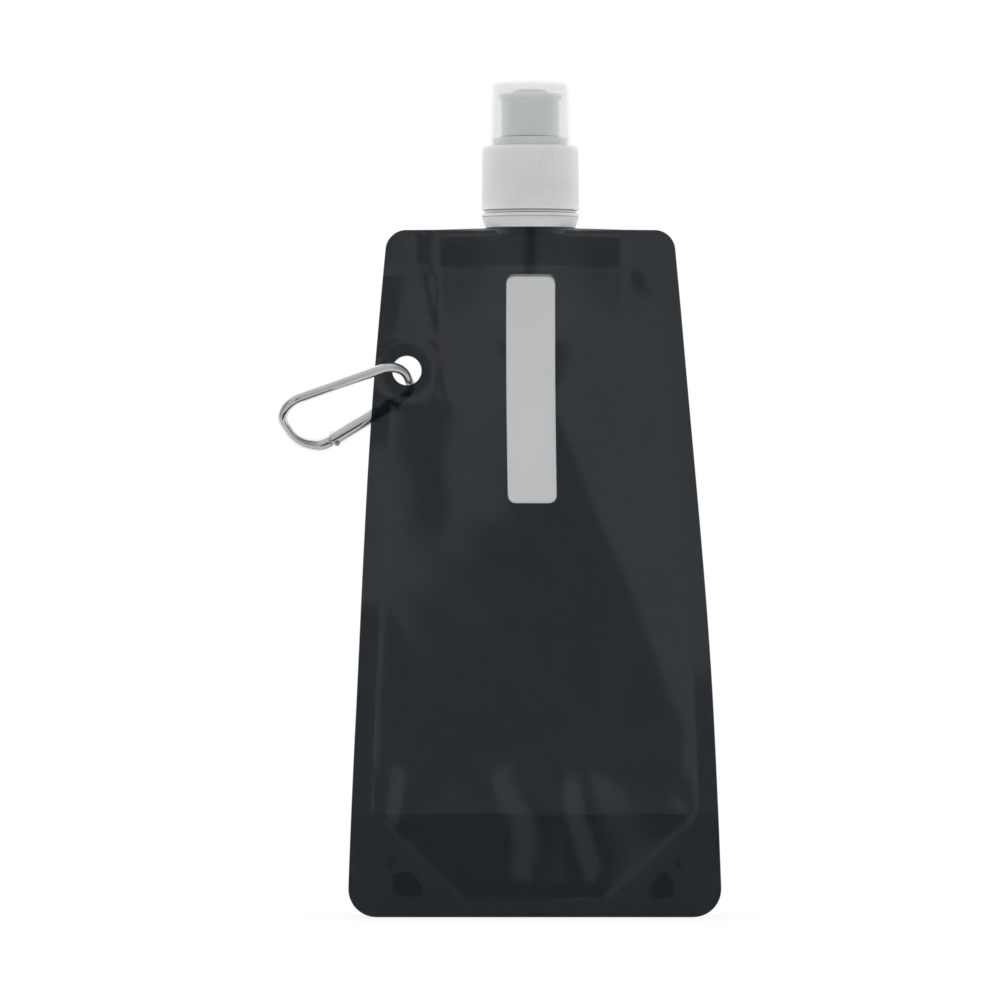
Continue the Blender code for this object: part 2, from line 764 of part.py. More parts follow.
def bend(before, corner, after):
    """The points of a round bend of the given radius between two straight runs."""
    here = Vector(corner[:2])
    radius = corner[2]
    towards = (Vector(before[:2]) - here).normalized()
    away = (Vector(after[:2]) - here).normalized()
    half = towards.angle(away) / 2
    centre = here + (towards + away).normalized() * radius / math.sin(half)
    start = here + towards * radius / math.tan(half) - centre
    sweep = start.angle_signed(here + away * radius / math.tan(half) - centre)
    count = max(4, round(abs(sweep) * radius / (1.3 * MM)))
    turn = -sweep / count
    return [centre + Matrix.Rotation(turn * step, 2) @ start for step in range(count + 1)]


CORNERS = (LOOP_NEAR_GATE, LOOP_NEAR_SPINE, LOOP_FAR_SPINE, LOOP_FAR_END, LOOP_FAR_GATE)
BENDS = [
    bend(before, corner, after)
    for before, corner, after in zip(CORNERS[-1:] + CORNERS, CORNERS, CORNERS[1:] + CORNERS)
]
GATE_LINE = (BENDS[-1][-1] - BENDS[0][0]).normalized()
GATE_TURN = math.atan2(GATE_LINE.y, GATE_LINE.x)
ROD_START = BENDS[0][0] + GATE_LINE * ROD_STUB
ROD_END = BENDS[-1][-1] - GATE_LINE * ROD_STUB
RIVET_AT = ROD_START + GATE_LINE * (math.hypot(GATE_R, GATE_REACH) + PIN_GAP)
NOSE_AT = ROD_END - GATE_LINE * (NOSE_REACH + GAP)
GATE_LENGTH = (NOSE_AT - RIVET_AT).length


def rod_path():
    """The rod's middle line, and its radius at each point: it swells from the far end to the nose."""
    near_gate, near_spine, far_spine, far_end, far_gate = BENDS
    spine = [lerp(near_spine[-1], far_spine[0], step / 3) for step in (1, 2)]
    even = [ROD_START, *near_gate, *near_spine, *spine, *far_spine]
    swelling = [*far_end, *far_gate, ROD_END]
    shares = [ease(0, len(swelling), step + 1) for step in range(len(swelling))]
    radii = [ROD_R] * len(even) + [lerp(ROD_R, NOSE_ROD_R, share) for share in shares]
    return even + swelling, radii


def tube(name, points, radii, finish, group=PARTS, resolution=4):
    """A round rod along points in space, with its radius at each."""
    curve = bpy.data.curves.new(name, "CURVE")
    curve.dimensions = "3D"
    curve.bevel_depth = radii[0]
    curve.bevel_resolution = resolution
    curve.use_fill_caps = True
    line = curve.splines.new("POLY")
    line.points.add(len(points) - 1)
    for slot, point, radius in zip(line.points, points, radii):
        slot.co = (*point, 1.0)
        slot.radius = radius / radii[0]
    made = baked(place(curve, name, finish, group))
    smooth_shading(made)
    return made


def plate(name, outline, thickness, where, finish, group=CUTTERS):
    """A flat plate of this outline, centred on its frame's XY plane."""
    curve = bpy.data.curves.new(name, "CURVE")
    curve.dimensions = "2D"
    curve.fill_mode = "BOTH"
    curve.extrude = thickness / 2
    line = curve.splines.new("POLY")
    line.points.add(len(outline) - 1)
    for slot, (x, y) in zip(line.points, outline):
        slot.co = (x, y, 0.0, 1.0)
    line.use_cyclic_u = True
    made = baked(place(curve, name, finish, group))
    made.matrix_world = where
    return made


def rivet_frame():
    return loop_frame(*RIVET_AT, turn=GATE_TURN)


def nose_frame():
    return loop_frame(*NOSE_AT, turn=GATE_TURN)


def in_frame(where, *points):
    return [where @ Vector(point) for point in points]


def make_carabiner_body():
    flat_path, radii = rod_path()
    path = [LOOP_ORIGIN + point.x * LOOP_U + point.y * LOOP_V for point in flat_path]
    body = tube("carabiner_body", path, radii, ALUMINIUM)
    root = (ROD_START - RIVET_AT).length + 0.8 * MM
    pivot_tongue = plate(
        "pivot_tongue",
        [(-root, -TONGUE_HALF), *arc(TONGUE_HALF, -90, 90, 10), (-root, TONGUE_HALF)],
        TONGUE,
        rivet_frame(),
        ALUMINIUM,
    )
    tip = NOSE_PIN_R + PIN_GAP + 0.9 * MM
    notch = NOSE_PIN_R + PIN_GAP
    heel = NOSE_REACH + GAP + 0.8 * MM
    nose_hook = plate(
        "nose_hook",
        [
            (heel, -TONGUE_HALF),
            (heel, TONGUE_HALF),
            (-tip + 0.5 * MM, TONGUE_HALF),
            (-tip, TONGUE_HALF - 0.5 * MM),
            (-tip, -TONGUE_HALF + 0.3 * MM),
            (-tip + 0.3 * MM, -TONGUE_HALF),
            (-notch, -TONGUE_HALF),
            *arc(notch, 180, 0, 8),
            (notch, -TONGUE_HALF),
        ],
        TONGUE,
        nose_frame(),
        ALUMINIUM,
    )
    reach = TONGUE
    rivet_hole = cylinder(
        "rivet_hole_cutter",
        RIVET_R + PIN_GAP,
        *in_frame(rivet_frame(), (0, 0, -reach), (0, 0, reach)),
        ALUMINIUM,
    )
    join(body, pivot_tongue, nose_hook)
    cut(body, rivet_hole)


def make_gate():
    pivot, nose = rivet_frame(), nose_frame()
    ends = in_frame(pivot, (-GATE_REACH, 0, 0), (GATE_LENGTH + NOSE_REACH, 0, 0))
    gate = cylinder("carabiner_gate", GATE_R, *ends, ALUMINIUM, steps=16, group=PARTS)
    edge = gate.modifiers.new("rounded ends", "BEVEL")
    edge.width = 0.9 * MM
    edge.segments = 2
    edge.limit_method = "ANGLE"
    edge.angle_limit = math.radians(60)
    slot = TONGUE + 2 * PIN_GAP
    wide = 3 * GATE_R
    pivot_depth = TONGUE_HALF + FORK_DEPTH
    pivot_slot = box(
        "pivot_slot_cutter",
        (pivot_depth + 3 * MM, wide, slot),
        pivot @ Matrix.Translation(((pivot_depth - 3 * MM) / 2, 0, 0)),
        ALUMINIUM,
    )
    nose_depth = NOSE_PIN_R + PIN_GAP + 0.9 * MM + FORK_DEPTH
    nose_slot = box(
        "nose_slot_cutter",
        (nose_depth + 4 * MM, wide, slot),
        nose @ Matrix.Translation(((4 * MM - nose_depth) / 2, 0, 0)),
        ALUMINIUM,
    )
    bore_end = TONGUE_HALF + GAP + PLUNGER_LENGTH + GAP + SPRING_LENGTH + GAP
    bore = cylinder(
        "spring_bore_cutter",
        SPRING_R + SPRING_WIRE_R + PIN_GAP,
        *in_frame(pivot, (-GATE_REACH - 1 * MM, 0, 0), (bore_end, 0, 0)),
        ALUMINIUM,
    )
    rivet_hole = cylinder(
        "gate_rivet_hole_cutter",
        RIVET_R + PIN_GAP,
        *in_frame(pivot, (0, 0, -wide), (0, 0, wide)),
        ALUMINIUM,
    )
    pin_hole = cylinder(
        "gate_pin_hole_cutter",
        NOSE_PIN_R + PIN_GAP,
        *in_frame(nose, (0, 0, -wide), (0, 0, wide)),
        ALUMINIUM,
    )
    cut(gate, pivot_slot, nose_slot, bore, rivet_hole, pin_hole)


def pin(name, shaft_r, head_r, where, finish):
    """A headed pin across the gate, through both of its cheeks."""
    seat = GATE_R + GAP / 2
    top = seat + RIVET_HEAD
    made = turned(
        name,
        [
            (0.0, top),
            (head_r - 0.35 * MM, top),
            (head_r, top - 0.25 * MM),
            (head_r, seat),
            (shaft_r, seat),
            (shaft_r, -seat),
            (head_r, -seat),
            (head_r, -top + 0.25 * MM),
            (head_r - 0.35 * MM, -top),
            (0.0, -top),
        ],
        finish,
        steps=PIN_STEPS,
        closed=False,
    )
    made.matrix_world = where


def make_spring():
    """The return spring, one unbroken coil in the gate's bore."""
    start = TONGUE_HALF + GAP + PLUNGER_LENGTH + GAP + SPRING_WIRE_R
    length = SPRING_LENGTH - 2 * SPRING_WIRE_R
    count = SPRING_TURNS * 8
    points = []
    for step in range(count + 1):
        angle = 2 * math.pi * SPRING_TURNS * step / count
        x = start + length * step / count
        points.append((x, SPRING_R * math.cos(angle), SPRING_R * math.sin(angle)))
    pitch = length / SPRING_TURNS
    print(f"spring: least gap between its turns {(pitch - 2 * SPRING_WIRE_R) / MM:.2f} mm")
    points = in_frame(rivet_frame(), *points)
    tube("gate_spring", points, [SPRING_WIRE_R] * len(points), STEEL, resolution=0)


def make_plunger():
    start = TONGUE_HALF + GAP
    radius = SPRING_R + SPRING_WIRE_R
    plunger = turned(
        "gate_plunger",
        [
            (0.0, start + PLUNGER_LENGTH),
            (radius - 0.2 * MM, start + PLUNGER_LENGTH),
            (radius, start + PLUNGER_LENGTH - 0.2 * MM),
            (radius, start + 0.6 * MM),
            (radius - 0.5 * MM, start),
            (0.0, start),
        ],
        STEEL,
        steps=PIN_STEPS,
        closed=False,
    )
    plunger.matrix_world = rivet_frame() @ Matrix.Rotation(math.pi / 2, 4, "Y")


# Joint axes

FOLD_OUT = half_gap(0.0, FOLD_Z) + FILM + FOLD_CLEAR  # the folded pouch's halves lie this far apart
JOINTS = (  # empty, a point on its axis, the axis, what it carries
    (
        "fold_axis",
        (0, -FOLD_OUT, FOLD_Z),
        (-1, 0, 0),
        ("front_film_lower", "back_film_lower", "bottom_gusset"),
    ),
    ("dust_cap_axis", (0, 0, DUST_BASE), (0, 0, 1), ("dust_cap",)),
    ("nozzle_axis", (0, 0, NOZZLE_BASE), (0, 0, 1), ("push_pull_nozzle", "dust_cap_axis")),
    ("cap_axis", (0, 0, CAP_BASE), (0, 0, 1), ("screw_cap", "cap_seal_ring", "nozzle_axis")),
    (
        "gate_axis",
        rivet_frame().translation,
        -LOOP_N,
        ("carabiner_gate", "gate_nose_pin", "gate_spring", "gate_plunger"),
    ),
    ("carabiner_axis", HANG_AT, (0, 1, 0), ("carabiner_body", "gate_pivot_rivet", "gate_axis")),
)


def hang(name, point, direction, carried):
    """An empty whose Z lies along a joint's axis, with what it carries parented to it."""
    empty = bpy.data.objects.new(name, None)
    PARTS.objects.link(empty)
    turn = Vector((0, 0, 1)).rotation_difference(Vector(direction))
    empty.matrix_world = Matrix.Translation(point) @ turn.to_matrix().to_4x4()
    bpy.context.view_layer.update()
    for piece in carried:
        found = bpy.data.objects[piece]
        where = found.matrix_world.copy()
        found.parent = empty
        found.matrix_world = where


make_pouch()
make_gusset()
make_spout()
make_band()
make_cap()
make_seal()
make_nozzle()
make_dust_cap()
make_carabiner_body()
make_gate()
pin("gate_pivot_rivet", RIVET_R, RIVET_HEAD_R, rivet_frame(), STEEL)
pin("gate_nose_pin", NOSE_PIN_R, RIVET_HEAD_R - 0.15 * MM, nose_frame(), STEEL)
make_spring()
make_plunger()
for joint in JOINTS:
    hang(*joint)
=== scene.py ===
"""Collapsible water bottle: the finish of every piece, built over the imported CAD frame.

Metres, in the part's own frame: Z runs up the spout's axis, the front faces -Y and z = 0 is the
pouch's bottom edge.
"""
import json
import math
from math import cos, pi, sin

import bmesh
import bpy
import numpy as np
from mathutils import Matrix, Vector
from mathutils.geometry import delaunay_2d_cdt


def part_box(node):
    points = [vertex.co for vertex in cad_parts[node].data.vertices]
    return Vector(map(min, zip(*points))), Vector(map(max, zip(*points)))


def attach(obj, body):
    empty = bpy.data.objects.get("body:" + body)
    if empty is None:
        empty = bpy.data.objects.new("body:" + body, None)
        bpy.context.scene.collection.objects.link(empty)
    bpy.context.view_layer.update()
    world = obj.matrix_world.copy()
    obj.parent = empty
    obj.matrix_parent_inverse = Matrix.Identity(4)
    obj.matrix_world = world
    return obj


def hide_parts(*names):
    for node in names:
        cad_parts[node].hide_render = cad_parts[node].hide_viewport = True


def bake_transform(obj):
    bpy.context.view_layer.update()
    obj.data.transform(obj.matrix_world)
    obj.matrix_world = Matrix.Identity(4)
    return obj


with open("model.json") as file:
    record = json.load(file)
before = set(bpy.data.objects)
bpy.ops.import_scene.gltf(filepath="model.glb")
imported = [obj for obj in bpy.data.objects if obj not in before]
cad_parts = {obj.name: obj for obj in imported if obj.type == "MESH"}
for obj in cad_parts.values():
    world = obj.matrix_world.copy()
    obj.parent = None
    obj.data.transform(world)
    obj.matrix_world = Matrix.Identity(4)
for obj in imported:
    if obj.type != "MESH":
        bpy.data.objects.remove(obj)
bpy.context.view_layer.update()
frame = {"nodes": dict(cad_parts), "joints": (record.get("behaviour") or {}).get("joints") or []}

MM = 0.001
JOINTS = {joint["name"]: joint for joint in frame["joints"]}

# Camera, from the photograph: square on to the pouch, far off
PHOTO_SIDE = 1000  # pixels
PIXEL = 0.3237 * MM  # size of one pixel at the pouch
CAMERA_DISTANCE = 2.2
CAMERA_X = -9.84 * MM
CAMERA_Z = 135.0 * MM
SENSOR_MM = 36.0

# Pouch
FILM = 0.3 * MM
GAP = 0.3 * MM  # left free between films, and between the films and the wing
LEAST_GAP = GAP / 6  # half of what creases and ripples leave of it
POUCH_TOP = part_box("front_film_upper")[1].z
BASE_WIDTH = 121.3 * MM
TOP_WIDTH = 92.6 * MM
SIDE_BOW = 1.8 * MM
TOP_CORNER_R = 6.0 * MM
BASE_CORNER_R = 9.5 * MM
LEAN = 1.42 * MM  # the empty pouch hangs a little to the right of its spout
LEAN_LOW, LEAN_HIGH = 64 * MM, 185 * MM
CROWN, CROWN_STEP = 0.15 * MM, 0.35 * MM  # the top edge's rise over the wing and at the neck
CROWN_HALF, CROWN_LOW = 38 * MM, 214 * MM
NECK_SIDE = (13.2 * MM, 14.4 * MM)  # the rise at the neck runs out here
SIDE_SEAL, BASE_SEAL = 6.5 * MM, 5.8 * MM  # how wide the welds are
WELD_STEP = 0.06 * MM  # rise of the film where a weld ends
WELD_RUN = 0.5 * MM

# The slack film: facets that rise from the seals and meet in soft ridges. Tilts are rise over run
REST = 0.15 * MM  # its least rise
RIGHT_TILT, LEFT_TILT, BASE_TILT = 0.080, 0.050, 0.030
LOW_TILT = 0.030  # of the side facets beside the gusset
RIGHT_STEEPENS, LEFT_STEEPENS = (38 * MM, 62 * MM), (66 * MM, 92 * MM)
MIDDLE_RISE, MIDDLE_FOOT = 0.0273, 60.2 * MM
LEFT_RISE, LEFT_LEAN, LEFT_DROP = 0.0217, 0.030, 0.71 * MM
RIDGE_R = 0.10 * MM
SPREAD = 0.18  # tilt of the side facets right under the spout, which spreads the films
SPREAD_LOW, SPREAD_HIGH = 150 * MM, 208 * MM

# The side seals' curl: its tilt, and the heights over which each stretch sets in or ends
CURL = 0.050
RIGHT_CURL = (66 * MM, 88 * MM)
LEFT_CURL, LEFT_CURL_END = (95 * MM, 105 * MM), (148 * MM, 158 * MM)
LEFT_CURL_TOP = (206 * MM, 212 * MM)
CORNER_CURL, CORNER_REACH = (198 * MM, 212 * MM), 7 * MM  # it reaches further in at the corners

# Handling: faint ripples in the loose film, in full this far inside the seals and under the wing
RIPPLES, RIPPLE_LENGTHS, RIPPLE_HEIGHT = 9, (13, 42), 0.0008  # how many, mm, share of a length
SEAL_HOLD, WING_HOLD = 6 * MM, 3 * MM

# Bottom gusset
GUSSET_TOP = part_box("bottom_gusset")[1].z
GUSSET_FADE = 7.0 * MM
GUSSET_LEG = 0.6 * MM  # between the middle surfaces of its two legs
SEAL_FOOT = (22.5 * MM, BASE_SEAL)  # where the corner seals meet the bottom seal
SEAL_HEAD = (51.8 * MM, 33.0 * MM)  # and where they start, at the gusset's fold

# Sight window: an unprinted strip in both films
WINDOW = (-7.8, 8.0, 134.0, 207.7, 2.6)  # left, right, low, high and corner radius, in mm

# Hang hole
HANG = Vector(JOINTS["carabiner_swing"]["pos_m"])
HANG_R = 4.73 * MM
HANG_WELD_R = 8.8 * MM
HANG_FADE = 8.5 * MM
HOLE_HOLD = (HANG_R + 1 * MM, HANG_WELD_R + 3 * MM)  # ripples set in over this run
CREASE_HOLD = (HANG_WELD_R, HANG_WELD_R + 2 * MM)  # and creases over this one

# Spout wing
WING_LOW, WING_HIGH = 210.3 * MM, 220.8 * MM
WING_LENGTH = 58.3 * MM
WING_THICKNESS = 24.0 * MM
WING_TIP = 0.6 * MM
WING_RIBS, WING_LEVELS = 5, 40
WING_RIB_DEPTH = 0.5 * MM
RIB_PRINT = 0.09 * MM  # how far they show through the film
PRINT_END = 0.95  # the print fades past this share of the wing's half length
PRINT_POWER, GRIP_POWER = 0.7, 0.6  # less than 1 broadens the crest of a rib
WRAP = (184 * MM, WING_LOW - 2 * MM)  # up this run the film takes the wing's own curve
WRAP_END = 2 * MM  # and closes over this run past the wing's tips
SPOUT_BORE_R = 9.0  # mm

# Screw threads of the neck and the cap, in mm
THREAD_PITCH = 3.2
THREAD_FOOT = 0.1  # how deep the ridge's foot stands in the wall
THREAD_FADE = 0.08  # share of the thread over which each end thins out
# The ridge's section from foot to foot: share of the way to its crest, and height
THREAD_FOOT_LOW, THREAD_FOOT_HIGH = -0.75, 0.4
THREAD_SECTION = ((0.1, -0.65), (0.85, -0.3), (1, -0.15), (1, 0.2), (0.85, 0.3))
THREAD_STEPS = 72  # to a turn

# Screw cap, in mm: its grip's fine upright ribs and the webs that hold the nozzle's plug
GRIP_RIBS, RIB_STEPS = 104, 8
RIB_DEPTH = 0.12
GRIP_R = 15.0  # only what is further out has ribs
GRIP_STARTS, GRIP_ENDS = (230.0, 230.7), (247.2, 248.1)
PLUG_WEBS = 3
WEB_SIZE, WEB_EDGE = (3.9, 1.2, 3.6), 0.2
WEB_OUT, WEB_HEIGHT = 3.6, 255.4

# Carabiner, in mm. The loop's corners in its own plane: along it from the hang hole, across it
# towards the gate, and the bend's radius
LOOP_CORNERS = [
    (0.7, 7.3, 4.9), (0.7, -6.7, 7.6), (44.1, -13.1, 7.3), (42.3, 5.4, 14.6), (35.4, 11.7, 5.9),
]
LOOP_DROP = math.radians(25.7)  # how far the loop points below the level, to the left
LOOP_TILT = math.radians(44.0)  # turn about its own length, spine forward
ROD_R = 1.6
NOSE_ROD_R = 2.1  # the rod swells to this at the nose
SWELL_FROM = 66.2  # along the rod from its pivot end
ROD_STUB = 0.3  # straight rod past the last bends
ROD_EDGE, ROD_EDGE_RUN = 0.3, 0.09  # the rounding of its cut ends
ROD_SIDES, ROD_PITCH = 40, 1.5
GATE_R, GATE_EDGE = 2.4, 0.9
GATE_PAST_RIVET, GATE_PAST_PIN = 1.9, 1.5
TONGUE = 1.4  # thickness of the rod's tongue and hook, between the gate's cheeks
PIN_GAP = 0.2
RIVET_IN, NOSE_IN = 3.261, 1.8  # of the rivet and the nose pin, from the rod's ends
RIVET_HOLE_R, PIN_HOLE_R = 0.95, 0.9
SPRING_BORE_R, SPRING_BORE = 1.48, (-1.65, 13.65)  # the bore's ends, from the rivet
DRILLED = 3.5  # holes are cut this far out to both sides, past the gate
# Outlines round the rivet (tongue and pivot fork) or the nose pin (hook and nose fork): along the
# gate towards the nose, out of the loop, and the corner's radius
TONGUE_CORNERS = [(-4.06, -1.45, 0), (1.45, -1.45, 1.4), (1.45, 1.45, 1.4), (-4.06, 1.45, 0)]
HOOK_CORNERS = [
    (2.6, -1.45, 0), (2.6, 1.45, 0), (-1.8, 1.45, 0.5), (-1.8, -1.45, 0.3), (-0.9, -1.45, 0.1),
    (-0.9, 0.9, 0.85), (0.9, 0.9, 0.85), (0.9, -1.45, 0.1),
]
PIVOT_FORK = [(-3.0, -4), (2.15, -4), (2.15, 4), (-3.0, 4)]
NOSE_FORK = [(-2.5, -1.65), (4.0, -1.65), (4.0, 5), (-2.5, 5)]

# Mesh pitches
FILM_PITCH = 1.5 * MM
RIB_PITCH = 0.42 * MM
EDGE_ROOM, POINT_ROOM = 0.7 * FILM_PITCH, 0.45 * FILM_PITCH  # round each free point of the film
RIBBED_FROM = WING_LOW - 4 * MM  # from here up the film's rows are a rib pitch apart
SEAL_HEIGHTS = np.arange(7, 209, 2.0) * MM  # of the points of the side seals' lines
CORNER_STEP = 6  # degrees, round the pouch's corners
HOLE_SIDES, WELD_SIDES = 64, 72  # round the hang hole and its weld
ROUND = 128  # steps round a turned piece
PLUG_ROUND, GATE_ROUND, BORE_SIDES = 48, 64, 32
FILLET_STEP, FINE_STEP, LOOP_STEP = 22, 10, 5  # degrees
MERGE = 0.002 * MM  # points closer than this become one
SHARP, SOFT_SHARP = 35.0, 50.0  # degrees from which an edge looks sharp; on film and threads


def smooth(start, end, value):
    """0 before start, 1 after end, smooth between, on numbers or arrays."""
    share = np.clip((value - start) / (end - start), 0.0, 1.0)
    return share * share * (3 - 2 * share)


def lerp(low, high, share):
    """The value this share of the way from low to high."""
    return low + (high - low) * share


def turns(count, first=0.0):
    """Evenly spaced turns that make one whole one, in radians."""
    return [2 * pi * (step + first) / count for step in range(count)]


# Colours and nodes

def linear(hex_colour):
    """An sRGB hex colour as linear red, green, blue and 1."""
    parts = [int(hex_colour[i:i + 2], 16) / 255 for i in (1, 3, 5)]
    return (*[c / 12.92 if c <= 0.04045 else ((c + 0.055) / 1.055) ** 2.4 for c in parts], 1.0)


def add_node(tree, kind, settings=()):
    """A node with its properties and inputs set, or fed where a value is another's output."""
    made = tree.nodes.new("ShaderNode" + kind)
    for name, value in dict(settings).items():
        if isinstance(value, bpy.types.NodeSocket):
            tree.links.new(value, made.inputs[name])
        elif isinstance(name, str) and name not in made.inputs:
            setattr(made, name, value)
        else:
            made.inputs[name].default_value = value
    return made


def empty_tree(owner):
    """A material's or the world's own nodes, cleared."""
    owner.use_nodes = True
    owner.node_tree.nodes.clear()
    return owner.node_tree


def patches(tree, size, low=0.0, high=1.0, stretch=(1, 1, 1)):
    """A value that drifts from low to high in soft patches this far apart, in mm."""
    place = add_node(tree, "TexCoord")
    settings = {"Scale": stretch, "Vector": place.outputs["Object"]}
    drawn = add_node(tree, "Mapping", settings)
    settings = {"Scale": 1 / (size * MM), "Detail": 3.0, "Vector": drawn.outputs["Vector"]}
    noise = add_node(tree, "TexNoise", settings)
    settings = {"From Min": 0.3, "From Max": 0.7, "To Min": low, "To Max": high}
    spread = add_node(tree, "MapRange", {**settings, "Value": noise.outputs["Fac"]})
    return spread.outputs["Result"]


def finish(name, tones, drift, gloss, rubbing, relief, settings, stretch=(1, 1, 1)):
    """A material that drifts between two close tones over a distance, is rubbed from one
    roughness to the other in patches this far apart, and has relief: layers of pitch and depth.
    Distances in mm."""
    made = bpy.data.materials.new(name)
    tree = empty_tree(made)
    layers = {}
    for pitch, depth in relief:
        height = patches(tree, pitch, 0, 1, stretch)
        layers = {"Distance": depth * MM, "Height": height, **layers}
        layers = {"Normal": add_node(tree, "Bump", layers).outputs["Normal"]}
    mixed = {0: patches(tree, drift), 6: linear(tones[0]), 7: linear(tones[1])}
    tone = add_node(tree, "Mix", {"data_type": "RGBA", **mixed})
    fed = {"Base Color": tone.outputs[2], "Roughness": patches(tree, rubbing, *gloss, stretch)}
    shader = add_node(tree, "BsdfPrincipled", {**settings, **layers, **fed})
    add_node(tree, "OutputMaterial", {"Surface": shader.outputs["BSDF"]})
    return made


def laminate_film(name, tones, alpha):
    """Cast laminate of polyester over polyethylene, dyed in the mass or clear: glossy and flat,
    with the faint orange peel of a rolled film and rubbed patches that soften the gloss."""
    return finish(
        name, tones,
        drift=22, gloss=(0.09, 0.14), rubbing=7,
        relief=((2.2, 0.005), (0.6, 0.001)),
        settings={"IOR": 1.50, "Alpha": alpha},
    )


SMOKE_TONES = ("#081620", "#0B1A24")
SMOKE_FILM = laminate_film("smoke_laminate_film", SMOKE_TONES, 0.627)
WELDED_SPOT = laminate_film("smoke_film_tacked_spot", ("#07121A", "#09151E"), 0.685)
GUSSET_FILM = laminate_film("gusset_laminate_film", SMOKE_TONES, 0.12)
GUSSET_WELD = laminate_film("gusset_film_welded", SMOKE_TONES, 0.04)
CLEAR_FILM = laminate_film("clear_laminate_film", ("#979EA0", "#A0A6A8"), 0.215)

# Injection-moulded polyethylene, milky white: satin, light carries a little way into it, and the
# spark-eroded mould leaves a fine even grain with slow drifts in gloss.
POLYETHYLENE = finish(
    "moulded_polyethylene", ("#E2E4E4", "#E9EAEA"),
    drift=9, gloss=(0.38, 0.48), rubbing=3,
    relief=((0.35, 0.006),),
    settings={
        "IOR": 1.51,
        "Subsurface Weight": 0.6,
        "Subsurface Radius": (1.0, 1.0, 1.0),
        "Subsurface Scale": 2.5 * MM,
    },
)

# Clear moulded polypropylene: see-through with a light haze, bright at its rims, and faint flow
# lines that run down it.
POLYPROPYLENE = finish(
    "clear_polypropylene", ("#BEC4C5", "#C6CCCD"),
    drift=8, gloss=(0.08, 0.14), rubbing=2,
    relief=((3, 0.01),),
    settings={"IOR": 1.49, "Alpha": 0.12},
    stretch=(1.0, 1.0, 0.25),
)

# Aluminium rod, drawn, bent and tumbled bright: fine handling marks blur the gloss a little.
ALUMINIUM = finish(
    "polished_aluminium", ("#DADCDE", "#E6E7E9"),
    drift=6, gloss=(0.12, 0.20), rubbing=3,
    relief=((0.7, 0.005),),
    settings={"Metallic": 1.0},
)

# Bright drawn steel wire and pins: a little darker and warmer than the aluminium.
STEEL = finish(
    "drawn_steel", ("#BFBEBD", "#CFCECC"),
    drift=1.5, gloss=(0.20, 0.30), rubbing=0.8,
    relief=((0.3, 0.003),),
    settings={"Metallic": 1.0},
)

# Moulded thermoplastic rubber for the seal: matt, pale grey, with the mould's dull grain.
RUBBER = finish(
    "soft_rubber", ("#C0C3C3", "#CACDCD"),
    drift=4, gloss=(0.56, 0.68), rubbing=1,
    relief=((0.25, 0.01),),
    settings={"IOR": 1.50},
)

# A finish's name and its material
WHITE_PLASTIC = "white_plastic", POLYETHYLENE
POLISHED_ALUMINIUM = "polished_aluminium", ALUMINIUM


# Making pieces

def placed(name, data):
    """An object in the scene from its mesh, lamp or camera."""
    made = bpy.data.objects.new(name, data)
    bpy.context.scene.collection.objects.link(made)
    return made


def new_piece(name, mesh, body, slot, *materials):
    """A piece from its mesh, on its body where it has just one, with its materials."""
    mesh.name = name
    for material in materials:
        mesh.materials.append(material)
    made = placed(name, mesh)
    if body:
        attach(made, body)
    return made


def shade(mesh, degrees=SHARP):
    """Smooth, but for edges that turn by more than this."""
    mesh.shade_smooth()
    mesh.set_sharp_from_angle(angle=math.radians(degrees))


def worked_mesh(piece):
    """A piece's mesh with its modifiers in it."""
    bpy.context.view_layer.update()
    graph = bpy.context.evaluated_depsgraph_get()
    return bpy.data.meshes.new_from_object(piece.evaluated_get(graph))


def ring_mesh(rings, degrees=SHARP, capped=False):
    """A mesh from closed rings of points, the last joined to the first or both capped."""
    side = len(rings[0])
    points = [point for ring in rings for point in ring]
    faces = [range(side), range(len(points) - side, len(points))] if capped else []
    for ring in range(len(rings) - capped):
        first, second = ring * side, (ring + 1) % len(rings) * side
        for step in range(side):
            after = (step + 1) % side
            faces.append((first + step, first + after, second + after, second + step))
    mesh = bpy.data.meshes.new("rings")
    mesh.from_pydata(points, [], faces)
    work = bmesh.new()
    work.from_mesh(mesh)
    if not capped:
        bmesh.ops.remove_doubles(work, verts=work.verts, dist=MERGE)
        bmesh.ops.dissolve_degenerate(work, edges=work.edges, dist=MERGE)
    bmesh.ops.recalc_face_normals(work, faces=work.faces)
    work.to_mesh(mesh)
    work.free()
    shade(mesh, degrees)
    return mesh


def thickened(points, faces, which):
    """A film's mesh from its middle surface, with its thickness and clean cut edges. which is the
    number of each face's material."""
    mesh = bpy.data.meshes.new("middle_surface")
    mesh.from_pydata(np.column_stack(points).tolist(), [], faces.tolist())
    mesh.polygons.foreach_set("material_index", which.astype(np.int32))
    work = placed("middle_surface", mesh)
    skin = work.modifiers.new("film", "SOLIDIFY")
    skin.thickness = FILM
    skin.offset = 0.0
    made = worked_mesh(work)
    bpy.data.objects.remove(work)
    shade(made, SOFT_SHARP)
    return made


def filleted(corners, sweep_step=18):
    """A closed outline whose corners, each a point and a radius, are rounded."""
    found = []
    for before, here, after in zip(corners[-1:] + corners, corners, corners[1:] + corners):
        corner, radius = Vector(here[:2]), here[2]
        if not radius:
            found.append(tuple(corner))
            continue
        back = (Vector(before[:2]) - corner).normalized()
        on = (Vector(after[:2]) - corner).normalized()
        half = back.angle(on) / 2
        centre = corner + (back + on).normalized() * radius / sin(half)
        start = corner + back * radius / math.tan(half) - centre
        sweep = start.angle_signed(corner + on * radius / math.tan(half) - centre)
        count = max(2, math.ceil(math.degrees(abs(sweep)) / sweep_step))
        for step in range(count + 1):
            found.append(tuple(centre + Matrix.Rotation(-sweep * step / count, 2) @ start))
    return found


